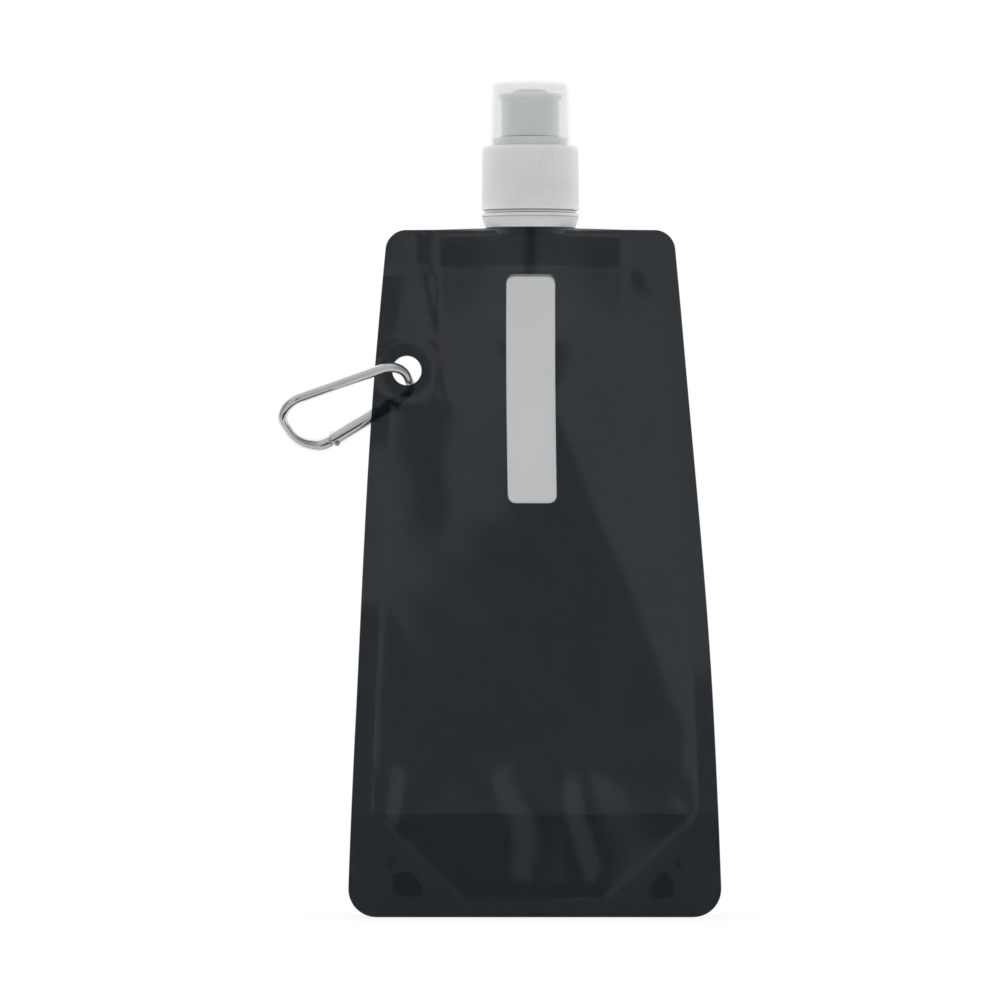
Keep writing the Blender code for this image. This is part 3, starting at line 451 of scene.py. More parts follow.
def finely(outline, pitch, closed=True):
    """The outline with its long runs cut to the pitch."""
    found = []
    ends = outline[1:] + outline[:1] if closed else outline[1:]
    for here, after in zip(outline, ends):
        steps = max(1, math.ceil(math.dist(here, after) / pitch - 0.01))
        found += [tuple(lerp(a, b, s / steps) for a, b in zip(here, after)) for s in range(steps)]
    return found if closed else found + [outline[-1]]


def inside_any(loops, x, z):
    """Which points lie inside one of these closed outlines."""
    found = np.zeros(len(x), bool)
    for loop in loops:
        within = np.zeros(len(x), bool)
        for (ax, az), (bx, bz) in zip(loop, loop[1:] + loop[:1]):
            crosses = (az > z) != (bz > z)
            with np.errstate(divide="ignore", invalid="ignore"):
                within ^= crosses & (x < (bx - ax) * (z - az) / (bz - az) + ax)
        found |= within
    return found


# Pouch film

def side_width(z):
    """Half the pouch's width at a height, without its rounded corners."""
    share = z / POUCH_TOP
    return lerp(BASE_WIDTH, TOP_WIDTH, share) / 2 + SIDE_BOW * 4 * share * (1 - share)


def edge_width(z):
    """Half the pouch's width at a height, with its rounded corners."""
    low = np.clip(BASE_CORNER_R - z, 0, BASE_CORNER_R)
    high = np.clip(z - POUCH_TOP + TOP_CORNER_R, 0, TOP_CORNER_R)
    drawn = BASE_CORNER_R - np.sqrt(BASE_CORNER_R**2 - low**2)
    return side_width(z) - drawn - TOP_CORNER_R + np.sqrt(TOP_CORNER_R**2 - high**2)


def lean(z):
    """How far the pouch hangs to the right at a height."""
    return LEAN * (1 - smooth(LEAN_LOW, LEAN_HIGH, z))


def wing_half(x):
    """Half the wing's thickness, which thins towards its tips."""
    share = np.clip(np.abs(x) / (WING_LENGTH / 2), 0, 1)
    return lerp(WING_THICKNESS / 2, WING_TIP / 2, share**2)


def corner_seal(x, z):
    """Distance above the slanted seals that tie the gusset's corners; less than 0 outside them."""
    (foot_x, foot_z), (head_x, head_z) = SEAL_FOOT, SEAL_HEAD
    length = math.hypot(head_x - foot_x, head_z - foot_z)
    along_x, along_z = (head_x - foot_x) / length, (head_z - foot_z) / length
    return (z - foot_z) * along_x - (np.abs(x) - foot_x) * along_z


def inside_seals(x, z):
    """Distance from the nearest seal: the sides, the bottom and the gusset's corners."""
    side = side_width(z) - SIDE_SEAL - np.abs(x)
    return np.minimum(np.minimum(side, z - BASE_SEAL), corner_seal(x, z))


def soft_min(values, softness):
    """The least of the values, with the change from one to the next rounded."""
    return -softness * np.log(sum(np.exp(-value / softness) for value in values))


def slack(x, z):
    """How far the slack film stands off its seals: facets that rise from them and meet softly."""
    side = side_width(z) - SIDE_SEAL
    spread = smooth(SPREAD_LOW, SPREAD_HIGH, z)
    right_tilt = lerp(LOW_TILT, RIGHT_TILT, smooth(*RIGHT_STEEPENS, z))
    left_tilt = lerp(LOW_TILT, LEFT_TILT, smooth(*LEFT_STEEPENS, z))
    middle = soft_min(
        (MIDDLE_RISE * (z - MIDDLE_FOOT), LEFT_RISE * z + LEFT_LEAN * x - LEFT_DROP), RIDGE_R
    )
    planes = (
        lerp(right_tilt, SPREAD, spread) * (side - x),
        lerp(left_tilt, SPREAD, spread) * (side + x),
        BASE_TILT * np.minimum(z - BASE_SEAL, corner_seal(x, z)),
        lerp(REST + np.clip(middle, 0, None), WING_THICKNESS / 2 + GAP, spread),
    )
    lifted = np.clip(soft_min(planes, RIDGE_R), 0, None)
    return lifted + WELD_STEP * smooth(0, WELD_RUN, inside_seals(x, z))


def from_hole(x, z):
    """Distance from the hang hole's middle."""
    return np.hypot(x - HANG.x, z - HANG.z)


def half_gap(x, z, hand):
    """Half the gap between the two films. hand is 1 for the front, -1 for the back."""
    level = GAP / 2 + (FILM + GAP) * (1 - smooth(GUSSET_TOP, GUSSET_TOP + GUSSET_FADE, z))
    beyond = np.clip((np.abs(x) - WING_LENGTH / 2) / WRAP_END, 0, 1)
    wrapped = lerp(wing_half(x) + GAP, GAP / 2, beyond)
    free = smooth(HANG_WELD_R, HANG_WELD_R + HANG_FADE, from_hole(x, z))
    open_film = lerp(level + slack(hand * x, z), wrapped, smooth(*WRAP, z))
    ring = WELD_STEP * smooth(HANG_WELD_R, HANG_WELD_R + WELD_RUN, from_hole(x, z))
    return lerp(level, open_film, free) + ring * (1 - free)


def wing_print(x, z):
    """The wing's sealing ribs, printed through the film that is welded over them."""
    share = (z - WING_LOW) / (WING_HIGH - WING_LOW)
    across = 1 - smooth(PRINT_END, 1.0, np.abs(x) / (WING_LENGTH / 2))
    wave = (0.5 - 0.5 * np.cos(2 * np.pi * share * WING_RIBS)) ** PRINT_POWER
    return RIB_PRINT * across * wave * ((share > 0) & (share < 1))


def ripples(x, z, seed):
    """The faint undulation of film that has been handled."""
    draw = np.random.default_rng(seed)
    total = np.zeros(len(x))
    for _ in range(RIPPLES):
        length = draw.uniform(*RIPPLE_LENGTHS) * MM
        turn, phase = draw.uniform(0, pi), draw.uniform(0, 2 * pi)
        wave = (x * cos(turn) + z * sin(turn)) * 2 * pi / length + phase
        total += RIPPLE_HEIGHT * length * np.sin(wave)
    return total


def from_path(path, x, z):
    """Distance from a path of points in mm, less than 0 on its left as it runs down, the share
    of its length at the nearest place, and the way to its right there."""
    points = np.array(path) * MM
    runs = np.hypot(*np.diff(points, axis=0).T)
    starts = np.concatenate(([0], np.cumsum(runs)))
    nearest, share = np.full(len(x), 1.0), np.zeros(len(x))
    right = np.zeros((2, len(x)))
    for (ax, az), (bx, bz), run, start in zip(points, points[1:], runs, starts):
        along = np.clip(((x - ax) * (bx - ax) + (z - az) * (bz - az)) / run**2, 0, 1)
        distance = np.hypot(x - ax - along * (bx - ax), z - az - along * (bz - az))
        side = np.where((bx - ax) * (z - az) > (bz - az) * (x - ax), 1, -1)
        closer = distance < np.abs(nearest)
        nearest = np.where(closer, side * distance, nearest)
        share = np.where(closer, (start + along * run) / starts[-1], share)
        right = np.where(closer, [[(az - bz) / run], [(bx - ax) / run]], right)
    return nearest, share, right


# Lasting creases of each film: a path in mm, half its width in mm at both ends, and how much
# the band leans, more than 0 where the film rises to the right. PRESSED ones are flat instead.
PRESSED = None
CREASE_ENDS = 0.15  # share of a crease's length over which it fades in and out
CREASE_REACH = 3  # it fades out over this many times its half width and 1 mm
FRONT_CREASES = (
    (((-15.1, 50.2), (-9.6, 41.1), (-4.1, 33.0), (-2.2, 21.7), (-6.1, 7.8)), (7.0, 5.8), 0.092),
    (((15.3, 49.5), (12.0, 41.1), (13.3, 31.4), (17.9, 18.5), (20.5, 8.1)), (4.2, 5.0), 0.108),
    (((-43.3, 50.2), (-44.6, 39.5), (-46.9, 28.8)), (3.2, 2.0), 0.070),
    (((42.1, 40.0), (52.4, 31.6)), (1.6, 1.2), -0.060),
    (((-30.2, 213), (-30.2, 199.7), (-29.9, 185.2), (-29.0, 173.8), (-29.4, 158)),
     (2.2, 2.4), PRESSED),
    (((-40.3, 211), (-40.9, 199.7), (-40.6, 193.2), (-38.0, 189.4), (-29.6, 182.5)),
     (1.9, 1.8), PRESSED),
    (((-33.5, 182), (-34.2, 157.6), (-33.5, 144.7), (-31.6, 122)), (10.5, 3.2), PRESSED),
    (((32.8, 222), (32.8, 208.5)), (4.4, 4.4), -0.075),
    (((-38.0, 221), (-38.6, 210.5)), (0.9, 0.9), 0.100),
    (((-35.4, 221), (-36.1, 211.0)), (0.8, 0.8), -0.100),
    (((-59.5, 14.8), (-55.9, 12.7)), (0.5, 0.5), 0.150),
    (((59.3, 15.4), (56.4, 12.4)), (0.5, 0.5), 0.150),
)
BACK_CREASES = (
    (((16, 55), (11, 43), (8, 30), (10, 12)), (4.0, 3.5), 0.080),
    (((-20, 52), (-14, 36), (-15.5, 22), (-21, 10)), (3.6, 3.0), -0.075),
    (((34, 209), (36.4, 198), (33.0, 184)), (1.2, 1.2), 0.120),
    (((-31, 209), (-30, 196), (-33, 182)), (1.2, 1.2), -0.120),
    (((24, 176), (20, 150), (30, 126)), (2.8, 2.0), 0.070),
    (((-24, 160), (-34, 140), (-44, 112)), (3.0, 2.2), -0.065),
)


def creased(x, z, hand, creases):
    """The lasting creases: each band slopes across its line, then levels off and fades out."""
    total = np.zeros(len(x))
    for path, half_widths, slope in creases:
        away, share, right = from_path(path, x, z)
        half_width = lerp(*half_widths, share) * MM
        if slope is PRESSED:
            line = (x, z) - away * right
            before = half_gap(*(line - half_width * right), hand)
            slope = (before - half_gap(*(line + half_width * right), hand)) / (2 * half_width)
        band = away / (1 + (away / half_width) ** 4) ** 0.25
        reach = CREASE_REACH * half_width + CREASE_REACH * MM
        fade = np.exp(-((away / reach) ** 2))
        ends = smooth(0, CREASE_ENDS, share) * smooth(0, CREASE_ENDS, 1 - share)
        total += slope * band * fade * ends
    return total


def curl(x, z):
    """How far the side seals curl back, the right one nearly all the way up."""
    corner = CORNER_REACH * smooth(*CORNER_CURL, z)
    over = np.clip(np.abs(x) - side_width(z) + SIDE_SEAL + corner, 0, None)
    left = smooth(*LEFT_CURL, z) * (1 - smooth(*LEFT_CURL_END, z)) + smooth(*LEFT_CURL_TOP, z)
    return CURL * over * np.where(x > 0, smooth(*RIGHT_CURL, z), left)


def film_offset(x, z, hand, creases, seed):
    """How far the film's middle surface stands off the pouch's own middle plane."""
    loose = smooth(0, SEAL_HOLD, inside_seals(x, z)) * smooth(0, WING_HOLD, WING_LOW - z)
    loose = loose * smooth(*HOLE_HOLD, from_hole(x, z))
    unwelded = smooth(*CREASE_HOLD, from_hole(x, z))
    marks = creased(x, z, hand, creases) * unwelded + ripples(x, z, seed) * loose
    pads = WELD_STEP * inside_any(PADS, x, z)
    offset = half_gap(x, z, hand) + wing_print(x, z) + marks - pads
    return np.maximum(offset, LEAST_GAP) + FILM / 2


# Outlines in the flat, in mm: window, pads beside the wing, tacked spots over the gusset's holes

def rounded_box(left, right, low, high, radius):
    """A box's outline with round corners."""
    corners = ((left, low), (right, low), (right, high), (left, high))
    return filleted([(*corner, radius) for corner in corners])


def in_metres(loop, pitch=1.2):
    """An outline in mm as one in metres, cut to a pitch in mm."""
    return [(x * MM, z * MM) for x, z in finely(loop, pitch)]


def mirrored(loop):
    """The line on the other side of the pouch, still anticlockwise where it is closed."""
    return [(-x, z) for x, z in reversed(loop)]


WINDOW_LOOP = in_metres(rounded_box(*WINDOW))
PADS = [
    in_metres(rounded_box(-39.2, -30.2, 210.0, 221.4, 0.8)),
    in_metres(rounded_box(29.6, 37.8, 210.0, 221.4, 0.8)),
]
LEFT_SPOT = filleted([(-46.2, 6.6, 2.2), (-34.6, 6.6, 1.8), (-39.6, 14.6, 2.6), (-45.4, 14.2, 2.0)])
RIGHT_SPOT = filleted([(34.8, 6.2, 2.0), (45.6, 6.2, 2.2), (44.6, 11.0, 2.0), (42.2, 16.2, 1.6)])
LEFT_SLIT = filleted(
    [(-48.6, 14.6, 0.8), (-46.9, 15.4, 0.8), (-44.8, 19.4, 0.8), (-46.4, 19.2, 0.8)]
)
SPOTS = [in_metres(loop, 0.8) for loop in (LEFT_SPOT, RIGHT_SPOT, LEFT_SLIT, mirrored(LEFT_SLIT))]


def pouch_outline():
    """The pouch's outline, anticlockwise from its bottom right, with round corners."""
    quarter = [math.radians(degrees) for degrees in range(0, 91, CORNER_STEP)]
    lower = [BASE_CORNER_R * (1 - cos(turn)) for turn in quarter[:-1]]
    upper = [POUCH_TOP - TOP_CORNER_R * (1 - sin(turn)) for turn in quarter]
    middle = np.arange(BASE_CORNER_R, upper[0] - FILM_PITCH / 2, FILM_PITCH)
    heights = np.array([*lower, *middle, *upper])
    right = [(float(edge_width(z)), float(z)) for z in heights]
    return finely(right + mirrored(right), FILM_PITCH)


def circle(x, z, radius, count):
    """A circle's outline, anticlockwise."""
    return [(x + radius * cos(turn), z + radius * sin(turn)) for turn in turns(count)]


def seal_lines():
    """The lines where a weld ends, each with the foot of its step."""
    lines = []
    for inset in (SIDE_SEAL, SIDE_SEAL + WELD_RUN):
        side = [(float(side_width(z)) - inset, z) for z in SEAL_HEIGHTS]
        lines += [side, mirrored(side)]
    foot_x, foot_z = SEAL_FOOT
    for step in (0, WELD_RUN):
        lines.append(finely([(-foot_x, foot_z + step), (foot_x, foot_z + step)], FILM_PITCH, False))
        lines += [corner_line(step), mirrored(corner_line(step))]
    return lines


def corner_line(step):
    """The right corner's slanted seal, raised by a step."""
    ends = [(x, z + step) for x, z in (SEAL_FOOT, SEAL_HEAD)]
    return finely(ends, FILM_PITCH, False)


def triangulate(loops, lines, half_width, holes, rows):
    """Flat points and triangles that keep to closed loops and open lines, holes left out."""
    points, edges = [], []
    for number, run in enumerate(loops + lines):
        start, last = len(points), len(run) if number < len(loops) else len(run) - 1
        points += run
        edges += [(start + i, start + (i + 1) % len(run)) for i in range(last)]
    fixed = np.array(points)
    for z in rows:
        half = half_width(z) - EDGE_ROOM
        for x in np.linspace(-half, half, round(2 * half / FILM_PITCH) + 1):
            if np.min(np.hypot(fixed[:, 0] - x, fixed[:, 1] - z)) > POINT_ROOM:
                points.append((float(x), float(z)))
    cut = delaunay_2d_cdt([Vector(p) for p in points], edges, [], 1, 1e-7)
    flat = np.array([tuple(v) for v in cut[0]])
    faces = np.array(cut[2])
    middle = flat[faces].mean(axis=1)
    return flat, faces[~inside_any(holes, *middle.T)]


HOLE_LOOP = circle(HANG.x, HANG.z, HANG_R, HOLE_SIDES)
WELD_LOOPS = [circle(HANG.x, HANG.z, HANG_WELD_R + d, WELD_SIDES) for d in (0, WELD_RUN)]
FILM_ROWS = [
    *np.arange(FILM_PITCH, RIBBED_FROM, FILM_PITCH),
    *np.arange(RIBBED_FROM, POUCH_TOP - RIB_PITCH / 2, RIB_PITCH),
]
FILM_LOOPS = [pouch_outline(), HOLE_LOOP, WINDOW_LOOP, *PADS, *SPOTS, *WELD_LOOPS]
FLAT_POINTS, FLAT_FACES = triangulate(
    FILM_LOOPS, seal_lines(), edge_width, [HOLE_LOOP], FILM_ROWS
)


def in_place(x, y, z):
    """Where a point of the flat film hangs: it leans, and rises over the spout."""
    broad = CROWN * np.clip(1 - (x / CROWN_HALF) ** 2, 0, 1)
    step = CROWN_STEP * (1 - smooth(*NECK_SIDE, np.abs(x)))
    return x + lean(z), y, z + (broad + step) * smooth(CROWN_LOW, POUCH_TOP, z)


def make_film(name, hand, creases, seed, *nodes):
    """One panel of film, front (hand 1) or back (hand -1), from the bottom edge to the top."""
    x, z = FLAT_POINTS.T
    y = curl(x, z) - hand * film_offset(x, z, hand, creases, seed)
    faces = FLAT_FACES if hand > 0 else FLAT_FACES[:, ::-1]
    middle = FLAT_POINTS[faces].mean(axis=1).T
    laminate = np.where(inside_any([WINDOW_LOOP], *middle), 1, 0)
    laminate = np.where(inside_any(SPOTS, *middle), 2, laminate)
    mesh = thickened(in_place(x, y, z), faces, laminate)
    film = new_piece(name, mesh, None, "smoke_film", SMOKE_FILM, CLEAR_FILM, WELDED_SPOT)
    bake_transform(film)
    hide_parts(*nodes)


def make_gusset():
    """The bottom gusset: one sheet folded into an inverted V, punched in its corners."""
    radius = GUSSET_LEG / 2
    fold_z = GUSSET_TOP - radius - FILM / 2
    quarter = pi * radius / 2
    reach = fold_z + quarter  # from the fold's crest down each leg to the bottom edge

    def height(s):
        """Height of a place this far down a leg, less than 0 on the back one."""
        return np.where(np.abs(s) < quarter, fold_z, reach - np.abs(s))

    def leg_width(s):
        return float(edge_width(height(np.array(s))))

    quarters = np.arange(0, 90, CORNER_STEP) / 90
    legs = [reach - BASE_CORNER_R * (1 - cos(share * pi / 2)) for share in quarters]
    runs = sorted({*legs, *np.arange(0, legs[-1], FILM_PITCH), 0.5 * quarter, quarter})
    right = [(leg_width(s), s) for s in runs]
    right = [(x, -s) for x, s in reversed(right)] + right[1:]
    outline = finely(right + mirrored(right), FILM_PITCH)
    slants, holes = [], []
    for sign in (-1, 1):
        slant = [(x, sign * (reach - z)) for x, z in corner_line(0) if z < fold_z]
        slants += [slant, mirrored(slant)]
        holes += [[(x, sign * (reach - z)) for x, z in loop] for loop in SPOTS]
    rows = [*np.arange(quarter, reach, FILM_PITCH), *np.linspace(0, quarter, 4)]
    rows = sorted({*rows, *[-s for s in rows]})
    flat, faces = triangulate([outline, *holes], slants, leg_width, holes, rows)
    x, s = flat.T
    turn = np.clip(s / radius, -pi / 2, pi / 2)
    z = np.where(np.abs(s) < quarter, fold_z + radius * np.cos(turn), reach - np.abs(s))
    middle_x, middle_s = flat[faces].mean(axis=1).T
    welded = np.minimum(corner_seal(middle_x, height(middle_s)), height(middle_s) - BASE_SEAL) < 0
    mesh = thickened((x + lean(z), radius * np.sin(turn), z), faces, welded)
    gusset = new_piece("gusset", mesh, "bag_lower", "smoke_film", GUSSET_FILM, GUSSET_WELD)
    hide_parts("bottom_gusset")


make_film("front_film", 1, FRONT_CREASES, 3, "front_film_upper", "front_film_lower")
make_film("back_film", -1, BACK_CREASES, 8, "back_film_upper", "back_film_lower")
make_gusset()


# Spout, band, cap, nozzle and dust cap

def spun(radius, height, turn):
    """A point round the spout's axis, in metres from mm."""
    return radius * cos(turn) * MM, radius * sin(turn) * MM, height * MM


def turned(name, body, slot, material, corners, steps=ROUND, pitch=4.0, radius=None):
    """A turned piece from its half section in mm: radius, height and fillet of each corner."""
    outline = finely(filleted(corners, FILLET_STEP), pitch)
    rings = []
    for turn in turns(steps):
        rings.append([spun(radius(r, z, turn) if radius else r, z, turn) for r, z in outline])
    return new_piece(name, ring_mesh(rings), body, slot, material)


def screw_thread(name, body, root, crest, low, winds):
    """A screw thread's ridge, thinning out at both ends, in mm."""
    rings = []
    count = round(winds * THREAD_STEPS)
    foot = root - math.copysign(THREAD_FOOT, crest - root)
    for step in range(count + 1):
        share = step / count
        turn = 2 * pi * winds * share
        fade = float(smooth(0, THREAD_FADE, share) * smooth(0, THREAD_FADE, 1 - share))
        tip = lerp(root, crest, fade)
        z = low + THREAD_PITCH * winds * share
        ridge = [(lerp(root, tip, out), up) for out, up in THREAD_SECTION]
        section = [(foot, THREAD_FOOT_LOW), *ridge, (foot, THREAD_FOOT_HIGH)]
        rings.append([spun(radius, z + up, turn) for radius, up in section])
    mesh = ring_mesh(rings, SOFT_SHARP, capped=True)
    return new_piece(name, mesh, body, *WHITE_PLASTIC)


def wing_ring(inset, z):
    """The wing's plan at a height, drawn in evenly, with as many points as its bore."""
    reach = WING_LENGTH / 2 - inset
    ring = []
    for turn in turns(ROUND, 0.5):
        x = reach * cos(turn)
        y = max(float(wing_half(x)) - inset, WING_TIP / 2 - inset / 4)
        ring.append((x, math.copysign(y, sin(turn)), z))
    return ring


def make_wing():
    """The boat-shaped wing that the films are welded to, with rounded sealing ribs all round."""
    rings = []
    for level in range(WING_LEVELS + 1):
        share = level / WING_LEVELS
        dip = (0.5 + 0.5 * cos(2 * pi * share * WING_RIBS)) ** 2
        rings.append(wing_ring(WING_RIB_DEPTH * dip, lerp(WING_LOW, WING_HIGH, share)))
    for z in (WING_HIGH, WING_LOW):
        rings.append([spun(SPOUT_BORE_R, z / MM, turn) for turn in turns(ROUND, 0.5)])
    new_piece("spout_wing", ring_mesh(rings), "bag_upper", *WHITE_PLASTIC)


def make_spout():
    """The neck with its ledge and flange, its thread and the tamper ring."""
    neck = turned("spout_neck", "bag_upper", *WHITE_PLASTIC, [
        (9.0, 220.8, 0), (9.0, 221.6, 0.5), (10.6, 225.8, 0.8), (10.6, 245.6, 0.3),
        (12.4, 245.6, 0.4), (12.4, 229.6, 0.3), (13.2, 229.0, 0.3), (13.2, 228.5, 0.1),
        (14.9, 228.45, 0.2), (14.9, 227.8, 0.2), (12.4, 227.75, 0.2), (12.4, 225.95, 0.1),
        (14.65, 225.95, 0.1), (15.7, 226.5, 0.1), (15.55, 225.8, 0.3), (14.45, 223.0, 0.3),
        (10.8, 223.0, 0.3), (10.8, 220.8, 0),
    ])
    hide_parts("spout_fitment")
    screw_thread("neck_thread", "bag_upper", 12.4, 13.12, 232.0, 3.0)
    band = turned("tamper_ring", "bag_upper", *WHITE_PLASTIC, [
        (12.8, 226.1, 0.1), (12.8, 227.6, 0.15), (15.8, 227.6, 0.3), (15.8, 226.75, 0.25),
        (14.6, 226.1, 0.2),
    ])
    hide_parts("tamper_band")


def grip(r, z, turn):
    """The cap's radius: fine upright ribs that fade out at the top and at the plain lip."""
    if r < GRIP_R:
        return r
    rise = float(smooth(*GRIP_STARTS, z) * (1 - smooth(*GRIP_ENDS, z)))
    wave = max(0.0, cos(GRIP_RIBS * turn)) ** GRIP_POWER
    return r + RIB_DEPTH * rise * wave


def make_cap():
    """The ribbed cap with its collar and chimney, its thread, and the plug on its three webs."""
    cap = turned("ribbed_cap", "screw_cap", *WHITE_PLASTIC, [
        (5.4, 246.9, 0.3), (5.4, 262.2, 0.3), (6.7, 262.2, 0.25), (7.85, 261.2, 0.3),
        (7.85, 260.2, 0.25), (7.2, 259.8, 0.2), (7.2, 252.2, 0.4), (12.0, 252.2, 0.45),
        (12.0, 249.4, 0.3), (15.45, 249.4, 1.2), (15.45, 247.9, 0), (15.46, 247.4, 0),
        (15.6, 230.6, 0), (15.6, 230.1, 0), (15.78, 229.6, 0.15), (15.78, 228.7, 0.3),
        (13.7, 228.7, 0.3), (13.7, 246.9, 0.4),
    ], steps=GRIP_RIBS * RIB_STEPS, pitch=9.0, radius=grip)
    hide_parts("screw_cap")
    screw_thread("cap_thread", "screw_cap", 13.7, 13.3, 233.4, 2.5)
    turned("nozzle_plug", "screw_cap", *WHITE_PLASTIC, [
        (0, 253.4, 0), (0, 267.3, 0), (1.5, 267.3, 0.3), (2.0, 266.7, 0.3), (2.0, 253.4, 0.3),
    ], steps=PLUG_ROUND)
    for number in range(PLUG_WEBS):
        work = bmesh.new()
        bmesh.ops.create_cube(work, size=1.0)
        bmesh.ops.scale(work, vec=Vector(WEB_SIZE) * MM, verts=work.verts)
        bmesh.ops.bevel(
            work, geom=work.edges, offset=WEB_EDGE * MM, segments=2, profile=0.5, affect="EDGES"
        )
        turn = Matrix.Rotation(2 * pi * number / PLUG_WEBS + pi / 2, 4, "Z")
        where = turn @ Matrix.Translation((WEB_OUT * MM, 0, WEB_HEIGHT * MM))
        bmesh.ops.transform(work, matrix=where, verts=work.verts)
        mesh = bpy.data.meshes.new("plug_web")
        work.to_mesh(mesh)
        work.free()
        shade(mesh)
        new_piece(f"plug_web_{number + 1}", mesh, "screw_cap", *WHITE_PLASTIC)


def make_nozzle():
    """The push-pull nozzle, hollow, with a lip to pull it by."""
    nozzle = turned("drinking_nozzle", "nozzle", *WHITE_PLASTIC, [
        (7.45, 252.5, 0.2), (7.45, 254.0, 0.15), (8.1, 254.4, 0.15), (8.1, 264.1, 0.4),
        (6.5, 265.3, 0.4), (3.1, 266.5, 0.3), (2.3, 266.5, 0.15), (2.3, 267.55, 0.1),
        (2.55, 267.8, 0.1), (4.6, 267.8, 1.0), (6.3, 266.7, 0.8), (9.6, 266.35, 0.2),
        (10.3, 266.1, 0.2), (10.3, 265.3, 0.3), (9.4, 264.5, 0.4), (9.4, 252.8, 0.2),
        (9.1, 252.5, 0.1),
    ])
    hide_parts("push_pull_nozzle")


def make_dust_cap():
    """The clear cap over the nozzle, slightly wider at its rim."""
    cap = turned("clear_dust_cap", "dust_cap", "clear_plastic", POLYPROPYLENE, [
        (0, 270.0, 0), (12.55, 270.0, 1.5), (13.1, 249.7, 0.25), (12.3, 249.7, 0.25),
        (11.75, 269.2, 0.8), (0, 269.2, 0),
    ], pitch=3.0)
    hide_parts("dust_cap")


# Carabiner

def loop_place():
    """Where the loop lies: X along it from the hang hole, Y across it towards the gate."""
    along = Vector((-cos(LOOP_DROP), 0, -sin(LOOP_DROP)))
    down = Vector((sin(LOOP_DROP), 0, -cos(LOOP_DROP)))
    across = cos(LOOP_TILT) * down + sin(LOOP_TILT) * Vector((0, 1, 0))
    slant = ROD_R * MM / sin(LOOP_TILT) + (FILM + GAP / 2) / math.tan(LOOP_TILT)
    axes = Matrix((along, across, along.cross(across))).transposed()
    return Matrix.Translation(HANG + (HANG_R - GAP - slant) * down) @ axes.to_4x4()


LOOP = loop_place()
BENDS = [Vector(point) for point in filleted(LOOP_CORNERS, LOOP_STEP)]
GATE_LINE = (BENDS[-1] - BENDS[0]).normalized()
ROD_ENDS = BENDS[0] + GATE_LINE * ROD_STUB, BENDS[-1] - GATE_LINE * ROD_STUB


def on_gate(point):
    """A frame in the loop's plane at a point, with X along the gate."""
    turn = Matrix.Rotation(math.atan2(GATE_LINE.y, GATE_LINE.x), 4, "Z")
    return LOOP @ Matrix.Translation((point * MM).to_3d()) @ turn


RIVET = ROD_ENDS[0] + GATE_LINE * RIVET_IN
NOSE = ROD_ENDS[1] - GATE_LINE * NOSE_IN


def prism(where, outline, low, high):
    """A straight block of this outline, from low to high along its frame's Z."""
    rings = [[where @ (Vector((x, y, z)) * MM) for x, y in outline] for z in (low, high)]
    return placed("prism", ring_mesh(rings, capped=True))


def hole(where, radius, low=-DRILLED, high=DRILLED):
    """A round block to cut out, from low to high along its frame's Z."""
    return "DIFFERENCE", prism(where, circle(0, 0, radius, BORE_SIDES), low, high)


def machined(piece, steps):
    """Joins blocks to a piece or cuts them out of it, in order, and throws the blocks away."""
    for operation, tool in steps:
        worked = piece.modifiers.new("step", "BOOLEAN")
        worked.operation = operation
        worked.solver = "EXACT"
        worked.object = tool
    mesh = worked_mesh(piece)
    piece.modifiers.clear()
    piece.data = mesh
    for _, tool in steps:
        bpy.data.objects.remove(tool)
    shade(mesh)


def rounded_end(ring, inwards):
    """The two rings that round a cut end of the rod, outermost first."""
    point, way, radius = ring
    further = point + inwards * ROD_EDGE_RUN * way
    return [(point, way, radius - ROD_EDGE), (further, way, radius - ROD_EDGE_RUN)]


def make_rod():
    """The bent rod, swelling to its nose, with a tongue for the rivet and a hook for the pin."""
    corners = [tuple(point) for point in (ROD_ENDS[0], *BENDS, ROD_ENDS[1])]
    path = [Vector(point) for point in finely(corners, ROD_PITCH, closed=False)]
    runs = [0.0, *np.cumsum([(b - a).length for a, b in zip(path, path[1:])])]
    radii = [lerp(ROD_R, NOSE_ROD_R, float(smooth(SWELL_FROM, runs[-1], run))) for run in runs]
    ways = [(b - a).normalized() for a, b in zip([path[0], *path], [*path[1:], path[-1]])]
    along = list(zip(path, ways, radii))
    along = rounded_end(along[0], 1) + along[1:-1] + rounded_end(along[-1], -1)[::-1]
    rings = []
    for point, way, radius in along:
        ring = []
        for turn in turns(ROD_SIDES):
            flat = point + Vector((-way.y, way.x)) * radius * cos(turn)
            ring.append(LOOP @ (Vector((*flat, radius * sin(turn))) * MM))
        rings.append(ring)
    mesh = ring_mesh(rings, capped=True)
    rod = new_piece("bent_rod", mesh, "carabiner", *POLISHED_ALUMINIUM)
    half = TONGUE / 2
    tongue = filleted(TONGUE_CORNERS, FINE_STEP)
    hook = filleted(HOOK_CORNERS, FINE_STEP)
    machined(rod, [
        ("UNION", prism(on_gate(RIVET), tongue, -half, half)),
        ("UNION", prism(on_gate(NOSE), hook, -half, half)),
        hole(on_gate(RIVET), RIVET_HOLE_R),
    ])
    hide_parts("carabiner_body")


